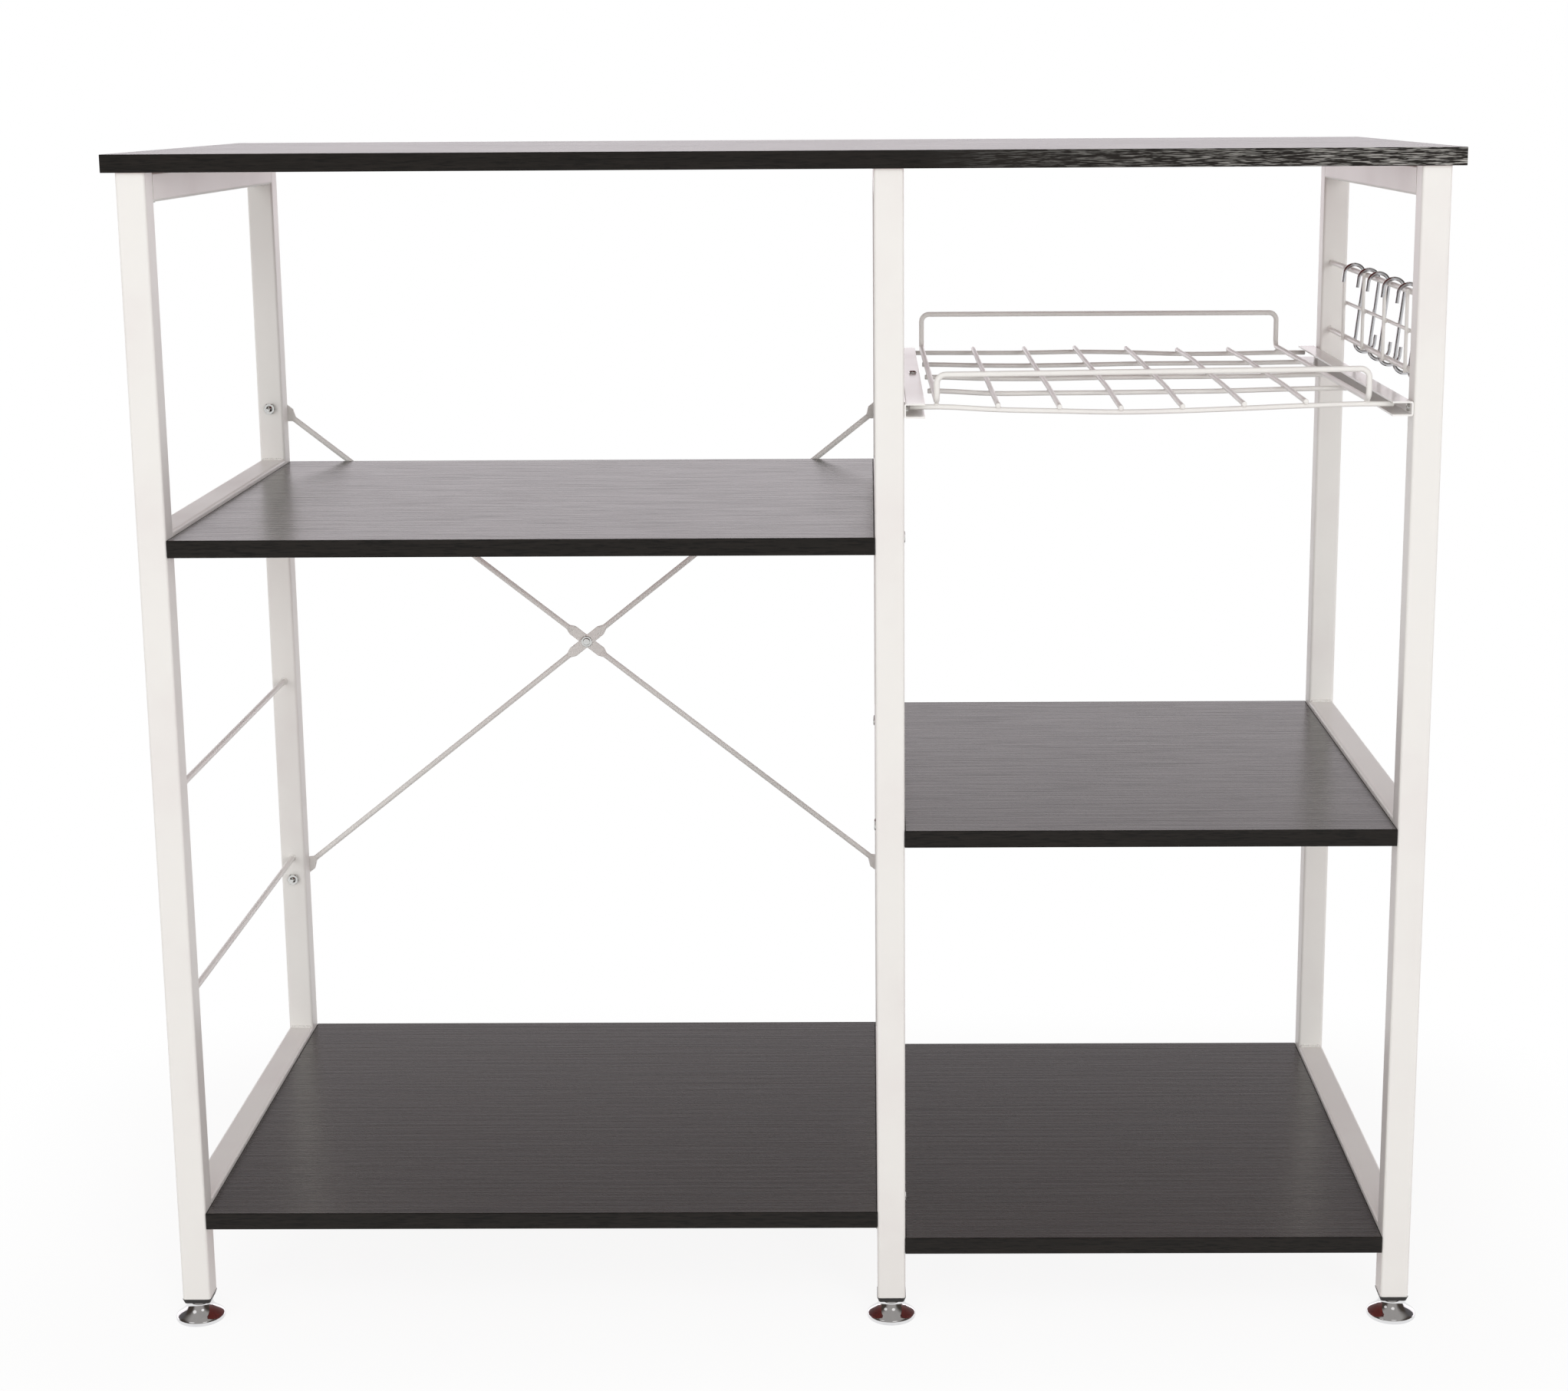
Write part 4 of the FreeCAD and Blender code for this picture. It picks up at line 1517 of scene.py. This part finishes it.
    def along_wires(self) -> Piece:
        """Long wires on top of the cross wires, following their drop."""
        shape = Shape()
        level = self.cross_z + 2 * self.wire_radius - self.sink
        for x in self.columns[1:-1]:
            falls = [self.drop(row, x) for row in range(len(self.rows))]
            self.cut_wire(shape, [
                Vector((self.askew(x, y), y, level - through(self.rows, falls, y)))
                for y in spread(
                    -self.long_reach, self.long_reach, len(self.rows) * self.steps + 1)
            ])
        return self.wires("basket_bent_long_wires", "basket_long_wires", shape)

    def cut_wire(self, shape: Shape, path: Points) -> None:
        """Wire with both cut ends a little rounded by the coat.

        Args:
            shape: Shape that takes the wire.
            path: Its middle line.
        """
        edge, shoulder = self.cut_edge, self.cut_edge * self.cut_share
        first = (path[1] - path[0]).normalized()
        last = (path[-2] - path[-1]).normalized()
        line = [
            path[0], path[0] + first * shoulder, path[0] + first * edge, *path[1:-1],
            path[-1] + last * edge, path[-1] + last * shoulder, path[-1]]
        sizes = [self.wire_radius] * len(line)
        sizes[0] = sizes[-1] = self.wire_radius - edge
        sizes[1] = sizes[-2] = self.wire_radius - shoulder
        shape.sweep(line, sizes)

    def welds(self) -> Piece:
        """Small swells where wires are welded across each other."""
        shape = Shape()
        seam = self.cross_z + self.wire_radius - self.sink / 2
        for row, y in enumerate(self.rows):
            for x in self.columns:
                place = Vector((self.askew(x, y), y, seam - self.drop(row, x)))
                shape.swell(place, UP, self.nugget)
        return shape.piece("basket_spot_welds", WIRE_PAINT, Body.BASKET)


@dataclass
class HookGrid(Assembly):
    """Rod grid in the right frame with its welds, and five S-hooks on it."""

    rods: tuple[str, ...] = ("grid_top_rod", "grid_lower_rod", "grid_middle_rod")
    upright_wires: str = "grid_upright_wires"
    uprights: int = 4
    nugget: float = 1.25 * MM
    hooks: int = 5

    def build(self) -> list[Piece]:
        """Paint the grid, add its welds and dress the hooks."""
        pieces = self.dress([*self.rods, self.upright_wires], WIRE_PAINT)
        pieces.append(self.welds())
        pieces += self.dress([f"hook_{n}" for n in range(1, self.hooks + 1)], HOOK_CHROME)
        return pieces

    def welds(self) -> Piece:
        """Spot welds where the upright wires lie on the rods."""
        low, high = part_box(self.upright_wires)
        wire_radius = (high.x - low.x) / 2
        shape = Shape()
        for rod in self.rods:
            seam = (high.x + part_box(rod)[0].x) / 2
            for y in spread(low.y + wire_radius, high.y - wire_radius, self.uprights):
                shape.swell(Vector((seam, y, self.middle(rod).z)), RIGHT, self.nugget)
        return shape.piece("grid_spot_welds", WIRE_PAINT)


# Studio


@dataclass(frozen=True)
class Lamp:
    """A round lamp that the camera doesn't see; size in metres, power in watts."""

    name: str
    place: tuple[float, float, float]
    size: float
    power: float
    mirrored: bool = False

    def hang(self, target: Vector) -> None:
        """Add the lamp to the scene.

        Args:
            target: Point that it faces.
        """
        data = bpy.data.lights.new(self.name, "AREA")
        data.shape = "DISK"
        data.size = self.size
        data.energy = self.power
        item = placed(self.name, data)
        item.visible_camera = False
        item.visible_glossy = self.mirrored
        item.location = self.place
        away = Vector(self.place) - target
        item.rotation_euler = away.to_track_quat("Z", "Y").to_euler()


@dataclass
class Studio:
    """Pale floor, surroundings, soft lamps and the camera.

    The floor keeps a faint shadow within the rack's reach from its middle and grows white
    over the shadow's reach beyond it.  Polished metal mirrors a backdrop behind the rack,
    whose tones are pairs of a height and a brightness, and walls that darken to the
    sides.  The ranges are limits of one coordinate of the way that a ray goes.
    """

    floor_reach: float = 12.0
    floor_colour: str = "#F6F5F4"
    floor_roughness: float = 0.6
    rack_reach: tuple[float, float, float] = (0.45, 0.2, 0.0)
    near_white: float = 0.9
    shadow_reach: float = 0.3
    side_light: tuple[float, float, float, float] = (0.74, 0.69, 0.70, 1.0)
    front_light: tuple[float, float, float, float] = (0.57, 0.59, 0.58, 1.0)
    front_range: tuple[float, float] = (-0.3, -0.65)
    low_share: float = 1.2
    high_share: float = 0.65
    high_range: tuple[float, float] = (0.15, 0.8)
    near_wall: str = "#A29F9C"
    far_wall: str = "#453E39"
    wall_range: tuple[float, float] = (0.45, 0.8)
    backdrop_tint: tuple[float, float, float] = (1.0, 0.945, 0.975)
    backdrop_tones: tuple[tuple[float, float], ...] = (
        (0.0, 2.2), (0.05, 1.8), (0.1, 1.3), (0.26, 1.25), (0.315, 0.13), (0.6, 0.1))
    backdrop_range: tuple[float, float] = (0.1, 0.4)
    lamps: tuple[Lamp, ...] = (
        Lamp("small_left", (-1.43, -1.4, 1.47), 0.9, 1.2, mirrored=True),
        Lamp("small_right", (0.62, -1.89, 1.56), 0.9, 1.2, mirrored=True),
        Lamp("above", (0.0, -3.6, 4.0), 2.4, 32),
        Lamp("soft_left", (-3.6, -8.0, 2.0), 3.2, 100),
        Lamp("soft_right", (3.6, -8.0, 2.0), 3.2, 160),
    )
    lamps_target: tuple[float, float, float] = (0.0, 0.0, 0.4)
    eye: tuple[float, float, float] = (0.0562, -1.9869, 0.8675)
    yaw: float = -0.472
    pitch: float = -11.816
    roll: float = -0.334
    focal_pixels: float = 3483.8
    image_size: tuple[int, int] = (2044, 1813)
    principal: tuple[float, float] = (1105.6, 848.7)
    sensor: float = 36.0

    def build(self) -> None:
        """Set up the floor, the surroundings, the lamps and the camera."""
        self.floor()
        self.surroundings()
        for lamp in self.lamps:
            lamp.hang(Vector(self.lamps_target))
        self.camera()
        bpy.context.scene.view_settings.view_transform = "Standard"

    def floor(self) -> None:
        """Square floor under the rack."""
        reach = self.floor_reach
        corners = [
            (-reach, -reach, 0), (reach, -reach, 0), (reach, reach, 0), (-reach, reach, 0)]
        data = bpy.data.meshes.new("studio_floor")
        data.from_pydata(corners, [], [range(len(corners))])
        data.materials.append(self.floor_material())
        placed("studio_floor", data)

    def floor_material(self) -> bpy.types.Material:
        """Matt material that keeps a faint shadow and is white to the camera."""
        material = bpy.data.materials.new("pale_studio_floor")
        tree = fresh_tree(material)
        path = add_node(tree, "LightPath")
        ray = add_node(
            tree, "Math",
            {0: path.outputs["Is Camera Ray"], 1: path.outputs["Is Glossy Ray"]},
            operation="MAXIMUM")
        place = add_node(tree, "TexCoord").outputs["Object"]
        folded = add_node(tree, "VectorMath", {0: place}, operation="ABSOLUTE")
        past = add_node(
            tree, "VectorMath", {0: folded, 1: self.rack_reach}, operation="SUBTRACT")
        outside = add_node(tree, "VectorMath", {0: past}, operation="MAXIMUM")
        distance = add_node(tree, "VectorMath", {0: outside}, operation="LENGTH")
        whiteness = add_node(
            tree, "MapRange",
            {"From Max": self.shadow_reach, "To Min": self.near_white, "To Max": 1.0,
             "Value": distance}, interpolation_type=Blend.SMOOTH.value)
        share = add_node(tree, "Math", {0: ray, 1: whiteness}, operation="MULTIPLY")
        matt = add_node(
            tree, "BsdfDiffuse",
            {"Color": linear(self.floor_colour), "Roughness": self.floor_roughness})
        white = add_node(tree, "Emission", {"Color": linear("#FFFFFF"), "Strength": 1.0})
        seen = add_node(tree, "MixShader", {0: share, 1: matt, 2: white})
        add_node(tree, "OutputMaterial", {"Surface": seen})
        return material

    def surroundings(self) -> None:
        """White to the camera; to the rack a toned room and a mirrored backdrop."""
        world = bpy.data.worlds.new("studio")
        bpy.context.scene.world = world
        tree = fresh_tree(world)
        path = add_node(tree, "LightPath")
        way = add_node(tree, "TexCoord").outputs["Generated"]
        parts = add_node(tree, "SeparateXYZ", {"Vector": way})
        white = add_node(tree, "Background", {"Color": linear("#FFFFFF"), "Strength": 1.0})
        lit = add_node(
            tree, "MixShader",
            {0: path.outputs["Is Glossy Ray"], 1: self.room(tree, parts),
             2: self.mirrored(tree, parts)})
        seen = add_node(
            tree, "MixShader", {0: path.outputs["Is Camera Ray"], 1: lit, 2: white})
        add_node(tree, "OutputWorld", {"Surface": seen})

    def room(self, tree: Tree, parts: Node) -> Node:
        """Light of the room: dimmer to the front and from above.

        Args:
            tree: The world's node tree.
            parts: Node that gives the parts of the way that a ray goes.

        Returns:
            The node of the light.
        """
        ahead = add_node(
            tree, "MapRange", {**between(self.front_range), "Value": parts.outputs["Y"]})
        tone = add_node(
            tree, "Mix", {"A": self.side_light, "B": self.front_light, "Factor": ahead},
            data_type="RGBA")
        strength = add_node(
            tree, "MapRange",
            {**between(self.high_range), "To Min": self.low_share,
             "To Max": self.high_share, "Value": parts.outputs["Z"]})
        return add_node(tree, "Background", {"Color": tone, "Strength": strength})

    def mirrored(self, tree: Tree, parts: Node) -> Node:
        """What polished metal mirrors: the backdrop and the walls beside it.

        Args:
            tree: The world's node tree.
            parts: Node that gives the parts of the way that a ray goes.

        Returns:
            The node of the light.
        """
        behind = add_node(
            tree, "MapRange",
            {**between(self.backdrop_range), "Value": parts.outputs["Y"]},
            interpolation_type=Blend.SMOOTH.value)
        backdrop = add_node(tree, "ValToRGB", {"Fac": parts.outputs["Z"]})
        tones = backdrop.color_ramp.elements
        while len(tones) < len(self.backdrop_tones):
            tones.new(0.5)
        for tone, (height, level) in zip(tones, self.backdrop_tones):
            tone.position = height
            tone.color = (*(level * share for share in self.backdrop_tint), 1.0)
        folded = add_node(tree, "Math", {0: parts.outputs["X"]}, operation="ABSOLUTE")
        aside = add_node(
            tree, "MapRange", {**between(self.wall_range), "Value": folded},
            interpolation_type=Blend.SMOOTH.value)
        walls = add_node(
            tree, "Mix",
            {"A": linear(self.near_wall), "B": linear(self.far_wall), "Factor": aside},
            data_type="RGBA")
        both = add_node(
            tree, "Mix", {"Factor": behind, "A": walls, "B": backdrop}, data_type="RGBA")
        return add_node(tree, "Background", {"Strength": 1.0, "Color": both})

    def camera(self) -> None:
        """Camera where the photographer stood, with a small shift."""
        data = bpy.data.cameras.new("camera")
        width, height = self.image_size
        data.sensor_width = self.sensor
        data.sensor_fit = "HORIZONTAL"
        data.lens = self.focal_pixels / width * self.sensor
        data.shift_x = (width / 2 - self.principal[0]) / width
        data.shift_y = (self.principal[1] - height / 2) / width
        item = placed("camera", data)
        turn = (
            Matrix.Rotation(math.radians(-self.yaw), 4, "Z")
            @ Matrix.Rotation(math.radians(90 + self.pitch), 4, "X")
            @ Matrix.Rotation(math.radians(self.roll), 4, "Z"))
        item.matrix_world = Matrix.Translation(self.eye) @ turn
        bpy.context.scene.camera = item


def main() -> None:
    """Build and dress every sub-assembly, then the studio."""
    logging.basicConfig(level=logging.INFO, format="%(message)s", stream=sys.stdout)
    assemblies: list[Assembly] = [
        Boards(), TubeFrames(), ScrewFeet(), Brace(), Fasteners(), Channels(), Basket(),
        HookGrid()]
    for assembly in assemblies:
        for item in assembly.build():
            LOG.info("%s: %s, %d faces", type(assembly).__name__, item.name,
                     len(item.data.polygons))
    Studio().build()


if __name__ == "__main__":
    main()
